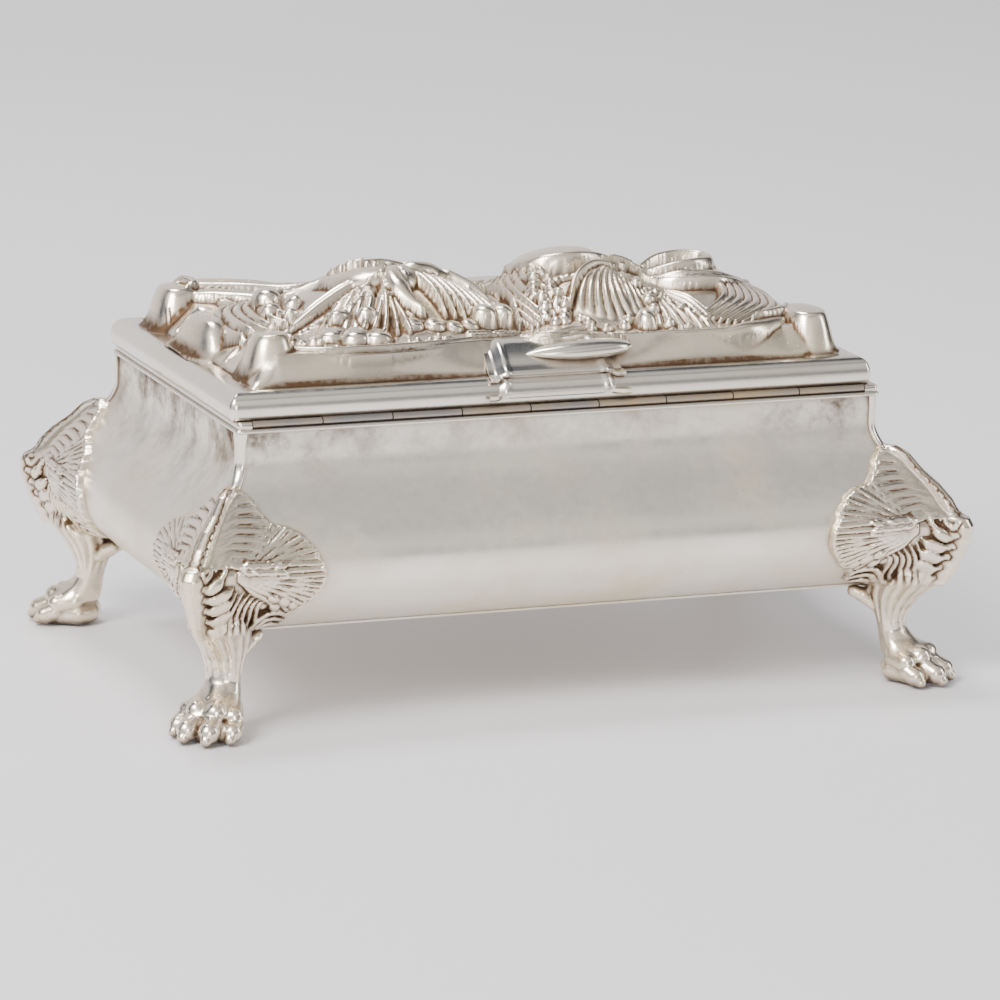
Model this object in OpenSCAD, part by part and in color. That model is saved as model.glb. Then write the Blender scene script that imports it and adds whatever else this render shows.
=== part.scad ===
// Footed trinket box: a bombe metal body on four paw legs, with a hinged lid
// that carries a raised relief. Millimetres, +Z up. The origin is the middle of
// the floor under the feet. The hinge runs along the back, at +Y.

/* [Body] */
// Length of the rim over the outside
rim_l = 200; // [170:1:230]
// Width of the rim over the outside
rim_w = 115.5; // [100:0.5:135]
// Height of the rim's top face, which the lid rests on
rim_top = 88; // [86:0.5:92]
// Height of the rim moulding
rim_h = 3.4; // [3:0.1:4]
// Width of the rim, from its outside to the box's mouth
rim_wide = 6; // [5.5:0.1:7]
// Height of the underside of the bottom plate
base_z = 28; // [26:0.5:30]
// Thickness of the bottom plate
base_t = 1.2; // [1:0.1:1.6]
// Thickness of the side panels
wall = 1.6; // [1.2:0.1:2]
// How far the panels swell out past the rim
bulge_out = 15; // [11:0.5:17]
// Height at which the panels swell out most
bulge_z = 49; // [46:0.5:52]
// How far the neck under the rim is drawn in
neck_in = 1.6; // [1.2:0.1:1.8]
// Height at which the neck starts to flare
neck_z = 77; // [75:0.5:79]
// Width of the bead strip on each face of a corner
strip_w = 2.6; // [2:0.1:3.5]
// How far the bead strip stands off the panels
strip_t = 0.9; // [0.6:0.1:1.2]

/* [Legs] */
// How far the knee stands out from the rim's corner, along the diagonal
knee_out = 29.5; // [26:0.5:32]
// Thickness of the web between the limb and the body
web_t = 6; // [4:0.5:8]
// How far the leg's wings stand off the panels
wing_t = 2.4; // [1.5:0.1:3]
// Radius of a toe
toe_r = 3.4; // [3:0.1:3.8]

/* [Lid] */
// Length of the lid over its moulding
lid_l = 199; // [170:1:229]
// Width of the lid over its moulding
lid_w = 113; // [98:0.5:132]
// Height of the lid's moulded frame
lid_h = 8.4; // [8:0.1:9]
// Height of the relief's block above the frame
block_h = 12.6; // [10:0.2:14]
// Height of the two mounds above the block
mound_h = 8; // [5:0.5:10]
// Thickness of the relief's shell
shell_t = 1.8; // [1.4:0.1:2.4]
// How far the worn hinge lets the lid sit to the side
lid_slip = 1.6; // [0:0.1:2]

/* [Hinge] */
// Length of the hinge
hinge_l = 190; // [150:2:190]
// Outside radius of the knuckles
knuckle_r = 1.05; // [0.9:0.05:1.1]
// Radius of the pin
pin_r = 0.5; // [0.4:0.05:0.55]
// Number of knuckles, an odd number
knuckles = 9; // [5:2:13]
// Thickness of a hinge leaf
leaf_t = 0.5; // [0.4:0.05:0.6]

/* [Lining] */
// Thickness of the upright linings
lining_t = 2.4; // [1.5:0.1:2.4]
// Thickness of the cards under the pads
card_t = 1.5; // [1:0.1:2]
// Thickness of the floor pad
pad_t = 5; // [3:0.5:8]

/* [Hidden] */

$fn = 48;
far = 300;                              // longer than anything it cuts
fit_gap = 0.02;                         // between castings that are soldered face to face
plating = "#cfc9bf";
brass = "#b08a3c";
velvet = "#5b1f2a";
card_colour = "#8d7f6a";

foot_out = 0.3;                         // how far the panels' lower edge stands out from the rim
lip_out = 1.3;                          // how far the bottom plate's rounded edge stands out
rim_step = 0.7;                         // the rim's flat face lies this far behind its bead
strip_foot = 66;                        // the bead strips run down to here, behind the legs' tops
end_play = 0.4;                         // free length at the hinge's ends and between its knuckles
pin_fit = 0.01;                         // the pin is pressed into the lower knuckles
turn_fit = 0.05;                        // and turns in the upper ones
facets = 12;                            // round forms inside the legs

neck_top = rim_top - rim_h;             // the panels' top edge, under the rim
panel_foot = base_z + base_t;           // the panels' lower edge, on the bottom plate
mouth_l = rim_l - 2 * rim_wide;
mouth_w = rim_w - 2 * rim_wide;
corner_shift = (rim_l - rim_w) / 2;     // how far each mitre's foot lies from the middle
rest_z = rim_top;                       // the lid's underside
frame_top = rest_z + lid_h;
block_top = frame_top + block_h;
lid_y = -0.6;                           // the lid lies this far off the middle
axis_y = rim_w / 2 - 1.75;
axis_z = rim_top - 0.8;
rebate_z = axis_z - knuckle_r;          // the ledge that the lower leaf lies on
knuckle_pitch = hinge_l / knuckles;
swing_r = knuckle_r + 0.35;             // room around the knuckles
floor_z = panel_foot + card_t;          // the floor card's top
flange_w = 6;                           // the lid frame's width, under its flange
flange_t = 1.6;                         // thickness of the flange that carries the relief
lid_mouth_l = lid_l - 2 * flange_w;
lid_mouth_w = lid_w - 2 * flange_w;
ceiling = frame_top - flange_t;         // the underside of the frame's inner flange
block_l = lid_l - 15;                   // the relief's foot on the frame
block_w = lid_w - 13;
block_rim = 6;                          // the relief's foot overlaps the flange by this much
boss_r = 11;                            // radius of a corner boss at its foot

// How far the panels' outer face stands out from the rim at height z: a parabola
// from the bottom up to the swell, then half a cosine wave up to the neck
function swell(z) =
    z < bulge_z ? bulge_out - (bulge_out - foot_out) * pow((bulge_z - z) / (bulge_z - base_z), 2) :
    z < neck_z ? -neck_in + (bulge_out + neck_in) * (1 + cos(180 * (z - bulge_z) / (neck_z - bulge_z))) / 2 :
    -neck_in;

// Outward offset and height of the panels' face, raised by a distance
function panel_face(raise) = [for (k = [0:20]) let (z = base_z + (neck_top - base_z) * k / 20)
    [swell(z) + raise, z]];

// Offset and height along a half-round bead between two heights
function bead(low, high, out) = let (r = (high - low) / 2)
    [for (a = [-90:15:90]) [out - r + r * cos(a), (low + high) / 2 + r * sin(a)]];

// A block on a rectangle, whose four sides all have the profile face
module moulded(l, w, face) {
    intersection() {
        rotate([90, 0, 0]) linear_extrude(far, center = true) sides(l / 2, face);
        rotate([90, 0, 90]) linear_extrude(far, center = true) sides(w / 2, face);
    }
}

module sides(half, face) {
    last = len(face) - 1;
    polygon(concat(
        [for (k = [0:last]) [half + face[k][0], face[k][1]]],
        [for (k = [last:-1:0]) [-half - face[k][0], face[k][1]]]
    ));
}

module body_block(raise) { moulded(rim_l, rim_w, panel_face(raise)); }

module slab(l, w, low, high) { translate([-l / 2, -w / 2, low]) cube([l, w, high - low]); }

// The wedge of space on one side of the box, cut off by the mitres at its corners
module long_side_wedge() {
    linear_extrude(far) polygon([
        [-corner_shift, 0], [corner_shift, 0], [corner_shift + far, far], [-corner_shift - far, far]]);
}

module short_side_wedge() {
    linear_extrude(far) polygon([
        [corner_shift, 0], [corner_shift + far, far], [corner_shift + far, -far]]);
}

module panel_shell() {
    difference() {
        body_block(0);
        body_block(-wall);
        slab(far, far, 0, panel_foot);
    }
}

module back_panel() { color(plating) intersection() { panel_shell(); long_side_wedge(); } }
module front_panel() { mirror([0, 1, 0]) back_panel(); }
module right_panel() { color(plating) intersection() { panel_shell(); short_side_wedge(); } }
module left_panel() { mirror([1, 0, 0]) right_panel(); }

// A bead that covers the mitre between two panels, from the leg up to the rim
module strip() {
    color(plating) intersection() {
        difference() {
            body_block(strip_t);
            body_block(fit_gap);
            rotate([90, 0, 0]) linear_extrude(far, center = true) sides(rim_l / 2, panel_face(-strip_w));
            rotate([90, 0, 90]) linear_extrude(far, center = true) sides(rim_w / 2, panel_face(-strip_w));
        }
        translate([0, 0, strip_foot]) cube([far, far, neck_top - strip_foot]);
    }
}

module back_right_strip() { strip(); }
module back_left_strip() { mirror([1, 0, 0]) strip(); }
module front_right_strip() { mirror([0, 1, 0]) strip(); }
module front_left_strip() { mirror([1, 0, 0]) mirror([0, 1, 0]) strip(); }

module bottom_plate() {
    color(plating) moulded(rim_l, rim_w, bead(base_z, panel_foot, lip_out));
}

module rim_frame() {
    bead_top = rim_top - rim_h / 2;
    face = concat(bead(neck_top, bead_top, 0), [[-rim_step, bead_top], [-rim_step, rim_top]]);
    color(plating) difference() {
        moulded(rim_l, rim_w, face);
        slab(mouth_l, mouth_w, 0, far);
        hinge_ledge(rebate_z, far);
        hinge_room();
    }
}

// The strip of space above the ledge that the hinge is let into
module hinge_ledge(low, high) {
    translate([-hinge_l / 2 - end_play, mouth_w / 2 - 1, low]) cube([hinge_l + 2 * end_play, 20, high - low]);
}

module hinge_room() {
    translate([0, axis_y, axis_z]) rotate([0, 90, 0]) cylinder(r = swing_r, h = hinge_l + 2 * end_play, center = true);
}

// Every second knuckle, starting with number first, each with its bore
module hinge_leaf(first, bore_r, low) {
    leaf_w = axis_y - mouth_w / 2;
    difference() {
        union() {
            translate([-hinge_l / 2, mouth_w / 2, low]) cube([hinge_l, leaf_w - swing_r, leaf_t]);
            for (k = [first:2:knuckles - 1]) translate([knuckle_x(k), 0, 0]) {
                translate([0, axis_y, axis_z]) rotate([0, 90, 0]) cylinder(r = knuckle_r, h = knuckle_pitch - end_play);
                translate([0, mouth_w / 2, low]) cube([knuckle_pitch - end_play, leaf_w, leaf_t]);
            }
        }
        translate([0, axis_y, axis_z]) rotate([0, 90, 0]) cylinder(r = bore_r, h = far, center = true);
    }
}

function knuckle_x(k) = -hinge_l / 2 + k * knuckle_pitch + end_play / 2;

module lower_hinge_leaf() { color(brass) hinge_leaf(0, pin_r + pin_fit, rebate_z); }
module upper_hinge_leaf() { color(brass) hinge_leaf(1, pin_r + turn_fit, axis_z + knuckle_r - leaf_t); }
module hinge_pin() {
    color(brass) translate([0, axis_y, axis_z]) rotate([0, 90, 0])
        cylinder(r = pin_r, h = hinge_l + end_play, center = true);
}

// A cabriole leg: a limb in the corner's diagonal plane, a web and a wing on each
// panel that hold it to the body, and a paw
module leg() {
    color(plating) difference() {
        union() {
            diagonal() {
                limb();
                web();
                paw();
            }
            wing();
            swap_sides() wing();
        }
        body_block(fit_gap);
        moulded(rim_l, rim_w, bead(base_z, panel_foot, lip_out + fit_gap));
        strip_room();
        slab(far, far, -far, 0);
    }
}

// Along the corner's diagonal, measured out from the rim's corner
module diagonal() { translate([rim_l / 2, rim_w / 2, 0]) rotate([0, 0, 45]) children(); }

// Distance out, height and radius of the limb, from its top down to the paw's heel
limb_stations = [
    [3.5, 66.5, 3.4], [11, 61.5, 4], [17.8, 55, 4.6], [knee_out - 6, 46.5, 6], [22.8, 39.5, 5.2],
    [18.6, 32.5, 4.6], [12.5, 27, 4.6], [7, 21.5, 5], [6.8, 15.5, 4.2], [8.4, 10, 4.4]
];

module station(s) { translate([s[0], 0, s[1]]) sphere(r = s[2], $fn = facets); }

module limb() {
    for (k = [0:len(limb_stations) - 2]) hull() {
        station(limb_stations[k]);
        station(limb_stations[k + 1]);
    }
}

module web() {
    rotate([90, 0, 0]) linear_extrude(web_t, center = true)
        polygon([[-4, 58], [12, 55], [20, 45], [18, 33], [10, 25], [5, 20], [0.5, 22], [-4, 24]]);
}

// Four toes that run down from the heel, the outer two shorter
module paw() {
    for (side = [-1, 1]) {
        toe([9, side * 2, 8], [21.5, side * 3.3, toe_r - 0.6]);
        toe([9, side * 3, 8], [17.5, side * 8, toe_r - 0.4]);
    }
}

module toe(root, tip) {
    hull() {
        translate(root) sphere(r = toe_r + 1, $fn = facets);
        translate(tip) sphere(r = toe_r, $fn = facets);
    }
}

// Carries a wing from the long side's face to the short side's face
module swap_sides() { translate([corner_shift, -corner_shift, 0]) mirror([1, -1, 0]) children(); }

module wing() {
    intersection() {
        body_block(wing_t);
        long_side_wedge();
        translate([rim_l / 2, 0, 0]) rotate([90, 0, 180]) linear_extrude(far) wing_outline();
    }
}

// A shell of scalloped lobes, measured in from the rim's corner
module wing_outline() {
    polygon([[-30, 70], [-1, 70], [4, 64], [16, 57], [19, 47], [16, 38], [11, 33], [11, 28], [-30, 28]]);
    for (lobe = [[5, 62], [11.5, 58.2], [17, 53], [18.3, 46], [16, 39.5]]) translate(lobe) circle(r = 3.2, $fn = facets);
}

module strip_room() {
    intersection() {
        body_block(strip_t + fit_gap);
        slab(far, far, strip_foot - fit_gap, far);
    }
}

module back_right_leg() { leg(); }
module back_left_leg() { mirror([1, 0, 0]) leg(); }
module front_right_leg() { mirror([0, 1, 0]) leg(); }
module front_left_leg() { mirror([1, 0, 0]) mirror([0, 1, 0]) leg(); }

module floor_card() { color(card_colour) slab(mouth_l + 4, mouth_w + 4, panel_foot, floor_z); }

// A crowned pad on a rectangle: its top is drawn in at the edges
module crowned(l, w, low, thick) {
    moulded(l, w, [[-0.4, low], [0, low + thick * 0.3], [-0.5, low + thick * 0.7], [-3, low + thick]]);
}

module floor_pad() { color(velvet) crowned(mouth_l - 0.6, mouth_w - 0.6, floor_z, pad_t); }

module back_lining() {
    color(velvet) translate([-mouth_l / 2, mouth_w / 2, floor_z])
        cube([mouth_l, lining_t, neck_top - floor_z]);
}
module front_lining() { mirror([0, 1, 0]) back_lining(); }
module right_lining() {
    color(velvet) translate([mouth_l / 2, -mouth_w / 2 - lining_t, floor_z])
        cube([lining_t, mouth_w + 2 * lining_t, neck_top - floor_z]);
}
module left_lining() { mirror([1, 0, 0]) right_lining(); }

module on_lid() { translate([lid_slip, lid_y, 0]) children(); }

// The lid's moulded border, with an inner flange that the relief stands on
module lid_frame() {
    face = [[-1.2, rest_z], [-0.6, rest_z + 0.8], [0, rest_z + 2.5], [0, rest_z + 6],
        [-0.5, rest_z + 7.4], [-1.6, frame_top - 0.3], [-3, frame_top]];
    color(plating) difference() {
        on_lid() moulded(lid_l, lid_w, face);
        on_lid() slab(lid_mouth_l, lid_mouth_w, 0, ceiling);
        on_lid() slab(block_l - 2 * block_rim, block_w - 2 * block_rim, 0, far);
        hinge_ledge(0, axis_z + knuckle_r);
        hinge_room();
        translate([-far / 2, axis_y - swing_r, 0]) cube([far, far, axis_z + swing_r]);
    }
}

// Offset and height up the relief's plain sloping wall
function block_wall(raise) = [for (k = [0:8]) let (t = k / 8)
    [raise - 5.5 * t * t - 0.6 * t, frame_top + block_h * t]];

module lid_relief() {
    color(plating) on_lid() difference() {
        union() {
            moulded(block_l, block_w, block_wall(0));
            for (side = [-1, 1]) translate([side * 42, 0, 0]) mound();
            for (x = [-1, 1], y = [-1, 1]) translate([x * (block_l / 2 - boss_r), y * (block_w / 2 - boss_r), frame_top])
                cylinder(r1 = boss_r, r2 = 7, h = block_h + 2);
        }
        difference() {
            moulded(block_l - 2 * block_rim, block_w - 2 * block_rim, [[0, frame_top - 1], [0, frame_top], [-5, block_top - shell_t]]);
            slab(far, far, block_top - shell_t, far);
        }
    }
}

// A shallow dome that stands in for one half of the relief's crest
module mound() {
    base_r = 38;
    ball_r = (base_r * base_r + mound_h * mound_h) / (2 * mound_h);
    intersection() {
        translate([0, 0, block_top + mound_h - ball_r]) sphere(r = ball_r, $fn = 96);
        slab(far, far, block_top - 1, far);
    }
}

module lid_card() {
    color(card_colour) on_lid() slab(lid_mouth_l - 0.4, lid_mouth_w - 0.4, ceiling - card_t, ceiling);
}

module lid_pad() {
    color(velvet) on_lid() mirror([0, 0, 1]) translate([0, 0, -2 * ceiling + 2 * card_t])
        translate([0, 0, ceiling - card_t]) crowned(lid_mouth_l - 0.6, lid_mouth_w - 0.6, 0, 4);
}

front_panel();
back_panel();
left_panel();
right_panel();
front_left_strip();
front_right_strip();
back_left_strip();
back_right_strip();
bottom_plate();
rim_frame();
front_left_leg();
front_right_leg();
back_left_leg();
back_right_leg();
floor_card();
floor_pad();
front_lining();
back_lining();
left_lining();
right_lining();
lower_hinge_leaf();
hinge_pin();
upper_hinge_leaf();
lid_frame();
lid_relief();
lid_card();
lid_pad();
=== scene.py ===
import math

import bpy
import numpy as np
from mathutils import Matrix, Vector


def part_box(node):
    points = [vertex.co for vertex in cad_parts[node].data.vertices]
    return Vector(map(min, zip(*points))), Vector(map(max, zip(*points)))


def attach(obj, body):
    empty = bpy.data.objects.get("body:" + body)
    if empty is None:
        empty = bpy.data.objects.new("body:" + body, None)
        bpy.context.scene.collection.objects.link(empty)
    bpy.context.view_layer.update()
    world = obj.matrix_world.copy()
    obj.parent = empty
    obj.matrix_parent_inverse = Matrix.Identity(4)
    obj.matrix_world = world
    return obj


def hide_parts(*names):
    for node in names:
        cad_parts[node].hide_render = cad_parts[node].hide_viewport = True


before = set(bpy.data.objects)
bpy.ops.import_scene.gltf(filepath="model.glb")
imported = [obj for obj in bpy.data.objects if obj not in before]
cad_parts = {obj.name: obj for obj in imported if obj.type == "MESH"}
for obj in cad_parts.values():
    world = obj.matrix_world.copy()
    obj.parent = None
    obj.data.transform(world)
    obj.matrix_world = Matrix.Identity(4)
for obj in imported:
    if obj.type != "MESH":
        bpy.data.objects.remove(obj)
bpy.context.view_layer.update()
mm = 0.001
rng = np.random.default_rng(7)

# the view, in degrees and mm
cameraSet = {
    "azimuth": 158.07,      # the camera stands behind the box, a little to its right
    "elevation": 13.44,
    "roll": 1.51,
    "distance": 1654.5,     # mm from the aim
    "aim": (-3.5, 0, 46.2),
    "lens": 199.6,
}


def makeCamera(s):
    a, e, r = (math.radians(s[k]) for k in ("azimuth", "elevation", "roll"))
    back = Vector((math.sin(a) * math.cos(e), -math.cos(a) * math.cos(e), math.sin(e)))
    side = (-back).cross(Vector((0, 0, 1))).normalized()
    up = side.cross(-back)
    right = side * math.cos(r) + up * math.sin(r)
    top = up * math.cos(r) - side * math.sin(r)
    data = bpy.data.cameras.new("camera")
    data.lens = s["lens"]
    data.clip_end = 20
    obj = bpy.data.objects.new("camera", data)
    bpy.context.scene.collection.objects.link(obj)
    turn = Matrix((right, top, back)).transposed().to_4x4()
    place = Vector(s["aim"]) * mm + back * s["distance"] * mm
    obj.matrix_world = Matrix.Translation(place) @ turn
    bpy.context.scene.camera = obj


makeCamera(cameraSet)
print("camera done")

# sizes from the frame, in mm
rimLow, rimHigh = (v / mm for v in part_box("rim_frame"))
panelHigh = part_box("back_panel")[1] / mm
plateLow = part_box("bottom_plate")[0] / mm
lidLow, lidHigh = (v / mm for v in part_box("lid_frame"))
halfX, halfY = rimHigh.x, rimHigh.y             # the rim's outside
rimTop, rimFoot = rimHigh.z, rimLow.z
bodyFoot = plateLow.z
bulge = panelHigh.y - halfY                     # how far the panels swell past the rim

bodyShape = {
    "bulgeZ": 49,       # height of the widest point
    "neckZ": 77,        # where the neck starts to flare
    "neckIn": 1.6,
    "footOut": 0.3,
    "wall": 1.6,
}


def swell(z):
    s = bodyShape
    z = np.asarray(z, float)
    low = bulge - (bulge - s["footOut"]) * ((s["bulgeZ"] - z) / (s["bulgeZ"] - bodyFoot)) ** 2
    t = np.clip((z - s["bulgeZ"]) / (s["neckZ"] - s["bulgeZ"]), 0, 1)
    high = -s["neckIn"] + (bulge + s["neckIn"]) * (1 + np.cos(np.pi * t)) / 2
    return np.where(z < s["bulgeZ"], low, high)


def swellSlope(z):
    return (swell(z + 0.05) - swell(z - 0.05)) / 0.1


# small helpers for node trees
def newTree(material):
    material.use_nodes = True
    tree = material.node_tree
    tree.nodes.clear()
    out = tree.nodes.new("ShaderNodeOutputMaterial")
    shader = tree.nodes.new("ShaderNodeBsdfPrincipled")
    tree.links.new(shader.outputs[0], out.inputs[0])
    return tree, shader


def put(tree, kind, inputs=None, **props):
    node = tree.nodes.new(kind)
    for key, value in props.items():
        setattr(node, key, value)
    for key, value in (inputs or {}).items():
        if hasattr(value, "links"):
            tree.links.new(value, node.inputs[key])
        else:
            node.inputs[key].default_value = value
    return node


def ramp(tree, source, stops):
    node = put(tree, "ShaderNodeValToRGB", {"Fac": source})
    points = node.color_ramp.elements
    for k, (at, colour) in enumerate(stops):
        point = points[k] if k < 2 else points.new(at)
        point.position = at
        point.color = (*colour, 1) if hasattr(colour, "__len__") else (colour, colour, colour, 1)
    return node.outputs[0]


def mixColour(tree, factor, a, b, how="MIX"):
    node = put(tree, "ShaderNodeMix", data_type="RGBA", blend_type=how)
    for index, value in ((0, factor), (6, a), (7, b)):
        if hasattr(value, "links"):
            tree.links.new(value, node.inputs[index])
        elif hasattr(value, "__len__"):
            node.inputs[index].default_value = (*value, 1)
        else:
            node.inputs[index].default_value = value
    return node.outputs[2]


def maths(tree, how, a, b=0.0, clamp=False):
    node = put(tree, "ShaderNodeMath", {0: a, 1: b}, operation=how, use_clamp=clamp)
    return node.outputs[0]


def newGroup(name, inputs, outputs):
    group = bpy.data.node_groups.new(name, "ShaderNodeTree")
    for label, value in inputs:
        kind = "NodeSocketColor" if hasattr(value, "__len__") else "NodeSocketFloat"
        socket = group.interface.new_socket(label, in_out="INPUT", socket_type=kind)
        socket.default_value = (*value, 1) if hasattr(value, "__len__") else value
    for label, kind in outputs:
        group.interface.new_socket(label, in_out="OUTPUT", socket_type=kind)
    return group, group.nodes.new("NodeGroupInput"), group.nodes.new("NodeGroupOutput")


# aged silver: haze, pits and scratches; its dark tarnish colour also carries painted shade from ambient
# occlusion in creases and joints
def agedMetalAndShade():
    group, given, result = newGroup("agedMetalAndShade", [
        ("Metal", (0.9, 0.87, 0.82)), ("TarnishAndShade", (0.2, 0.13, 0.08)), ("Haze", (0.62, 0.55, 0.42)),
        ("Darkening", 0.0), ("Age", 0.5), ("Polish", 0.2), ("Scratches", 0.3)],
        [("Colour", "NodeSocketColor"), ("Roughness", "NodeSocketFloat"), ("Height", "NodeSocketFloat")])
    g = given.outputs
    where = put(group, "ShaderNodeTexCoord").outputs["Object"]
    cloud = put(group, "ShaderNodeTexNoise", {"Vector": where, "Scale": 28.0, "Detail": 8.0,
                                              "Roughness": 0.6})
    fine = put(group, "ShaderNodeTexNoise", {"Vector": where, "Scale": 420.0, "Detail": 6.0,
                                             "Roughness": 0.65})
    speck = put(group, "ShaderNodeTexNoise", {"Vector": where, "Scale": 900.0, "Detail": 3.0})
    stretch = put(group, "ShaderNodeMapping", {"Vector": where, "Scale": (60.0, 60.0, 2400.0)})
    lines = put(group, "ShaderNodeTexNoise", {"Vector": stretch.outputs[0], "Scale": 1.0, "Detail": 4.0})
    # painted shade: ambient occlusion darkens creases, joints between parts and the band under the rim bead
    # toward the dark colour, partly standing for tarnish deposit there
    crease = put(group, "ShaderNodeAmbientOcclusion", {"Distance": 0.005}, samples=6)
    creaseShadeAndDeposit = ramp(group, crease.outputs["AO"], [(0.3, 1.0), (0.9, 0.0)])
    cavity = maths(group, "MAXIMUM", g["Darkening"], maths(group, "MULTIPLY", creaseShadeAndDeposit, 0.8))
    tarnishShadeMix = maths(group, "MULTIPLY", cavity, maths(group, "ADD", fine.outputs[0], 0.55), clamp=True)
    cloudy = ramp(group, cloud.outputs[0], [(0.42, 0.0), (0.72, 1.0)])
    hazy = maths(group, "MULTIPLY", maths(group, "MULTIPLY", cloudy, g["Age"]), 0.55)
    base = mixColour(group, hazy, g["Metal"], g["Haze"])
    pits = ramp(group, speck.outputs[0], [(0.68, 0.0), (0.76, 1.0)])
    pitted = maths(group, "MULTIPLY", maths(group, "MULTIPLY", pits, cloudy), g["Age"])
    base = mixColour(group, maths(group, "MULTIPLY", pitted, 0.6), base, g["TarnishAndShade"])
    # this mix lays the dark colour for real patina and stains in hollows, and for the painted crease shade
    base = mixColour(group, tarnishShadeMix, base, g["TarnishAndShade"])
    dull = maths(group, "ADD", g["Polish"], maths(group, "MULTIPLY", tarnishShadeMix, 0.4))
    dull = maths(group, "ADD", dull, maths(group, "MULTIPLY", hazy, 0.3))
    grain = maths(group, "SUBTRACT", fine.outputs[0], 0.5)
    dull = maths(group, "ADD", dull, maths(group, "MULTIPLY", grain, 0.16))
    height = maths(group, "ADD", maths(group, "MULTIPLY", fine.outputs[0], 0.35),
                   maths(group, "MULTIPLY", lines.outputs[0], g["Scratches"]))
    height = maths(group, "SUBTRACT", height, maths(group, "MULTIPLY", pitted, 0.8))
    for label, value in (("Colour", base), ("Roughness", dull), ("Height", height)):
        group.links.new(value, result.inputs[label])
    return group


agedShadeGroup = agedMetalAndShade()


def metal(name, settings, cavityName=None):
    material = bpy.data.materials.new(name)
    tree, shader = newTree(material)
    agedShadeNode = put(tree, "ShaderNodeGroup", node_tree=agedShadeGroup)
    for key in ("Age", "Polish", "Scratches"):
        agedShadeNode.inputs[key].default_value = settings[key]
    for key in ("Metal", "TarnishAndShade", "Haze"):
        agedShadeNode.inputs[key].default_value = (*settings[key], 1)
    # painted shade with stain blotches: the panels' top band under the rim bead and their ends beside the
    # legs are darkened toward the tarnish colour through noise
    if settings.get("stainsAndShade"):
        where = put(tree, "ShaderNodeTexCoord").outputs["Object"]
        place = put(tree, "ShaderNodeSeparateXYZ", {"Vector": where})
        high = ramp(tree, maths(tree, "MULTIPLY", place.outputs["Z"], 10.0), [(0.56, 0.0), (0.84, 1.0)])
        across = maths(tree, "MULTIPLY", maths(tree, "ABSOLUTE", place.outputs["X"]), 10.0)
        ends = ramp(tree, across, [(0.5, 0.45), (0.96, 1.0)])
        stainShadeNoise = put(tree, "ShaderNodeTexNoise", {"Vector": where, "Scale": 75.0, "Detail": 9.0,
                                                 "Roughness": 0.68})
        spots = ramp(tree, stainShadeNoise.outputs[0], [(0.42, 0.0), (0.62, 1.0)])
        mask = maths(tree, "MULTIPLY", maths(tree, "MULTIPLY", high, ends), spots)
        tree.links.new(maths(tree, "MULTIPLY", mask, settings["stainsAndShade"]), agedShadeNode.inputs["Darkening"])
    if cavityName:
        layer = put(tree, "ShaderNodeAttribute", attribute_name=cavityName)
        tree.links.new(layer.outputs["Fac"], agedShadeNode.inputs["Darkening"])
    bump = put(tree, "ShaderNodeBump", {"Strength": settings["bump"], "Distance": 0.0002,
                                        "Height": agedShadeNode.outputs["Height"]})
    shader.inputs["Metallic"].default_value = 1.0
    tree.links.new(agedShadeNode.outputs["Colour"], shader.inputs["Base Color"])
    tree.links.new(agedShadeNode.outputs["Roughness"], shader.inputs["Roughness"])
    tree.links.new(bump.outputs[0], shader.inputs["Normal"])
    return material


silverSet = {
    "Metal": (0.93, 0.875, 0.785), "TarnishAndShade": (0.12, 0.07, 0.04), "Haze": (0.74, 0.62, 0.38),
    "Age": 0.55, "Polish": 0.16, "Scratches": 0.25, "bump": 0.25,
}
castSet = dict(silverSet, Metal=(0.95, 0.845, 0.7), Polish=0.17, Age=1.0, Scratches=0.0, bump=0.7)
satinSet = dict(silverSet, Polish=0.34, Age=1.1, Scratches=0.4, bump=0.25, stainsAndShade=0.9)
brassSet = dict(silverSet, Metal=(0.36, 0.34, 0.33), Haze=(0.66, 0.42, 0.1), TarnishAndShade=(0.08, 0.06, 0.05),
                Age=1.35, Polish=0.36, bump=0.6)
satinSilver = metal("satinSilver", satinSet)
edgeSilver = metal("edgeSilver", silverSet)
castSilver = metal("castSilver", castSet, "cavity")
brass = metal("brass", brassSet)


def velvetMaterial(name, colour):
    material = bpy.data.materials.new(name)
    tree, shader = newTree(material)
    where = put(tree, "ShaderNodeTexCoord").outputs["Object"]
    nap = put(tree, "ShaderNodeTexNoise", {"Vector": where, "Scale": 2200.0, "Detail": 2.0})
    crush = put(tree, "ShaderNodeTexNoise", {"Vector": where, "Scale": 60.0, "Detail": 5.0})
    shade = ramp(tree, crush.outputs[0], [(0.3, 0.72), (0.75, 1.25)])
    tree.links.new(mixColour(tree, 1.0, colour, shade, "MULTIPLY"), shader.inputs["Base Color"])
    bump = put(tree, "ShaderNodeBump", {"Strength": 0.5, "Distance": 0.0003, "Height": nap.outputs[0]})
    tree.links.new(bump.outputs[0], shader.inputs["Normal"])
    shader.inputs["Roughness"].default_value = 0.9
    shader.inputs["Sheen Weight"].default_value = 0.7
    shader.inputs["Sheen Roughness"].default_value = 0.4
    return material


def cardMaterial():
    material = bpy.data.materials.new("boardPaper")
    tree, shader = newTree(material)
    where = put(tree, "ShaderNodeTexCoord").outputs["Object"]
    pulp = put(tree, "ShaderNodeTexNoise", {"Vector": where, "Scale": 700.0, "Detail": 6.0})
    tree.links.new(ramp(tree, pulp.outputs[0], [(0.3, (0.2, 0.15, 0.1)), (0.7, (0.32, 0.25, 0.17))]),
                   shader.inputs["Base Color"])
    shader.inputs["Roughness"].default_value = 0.85
    return material


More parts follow.
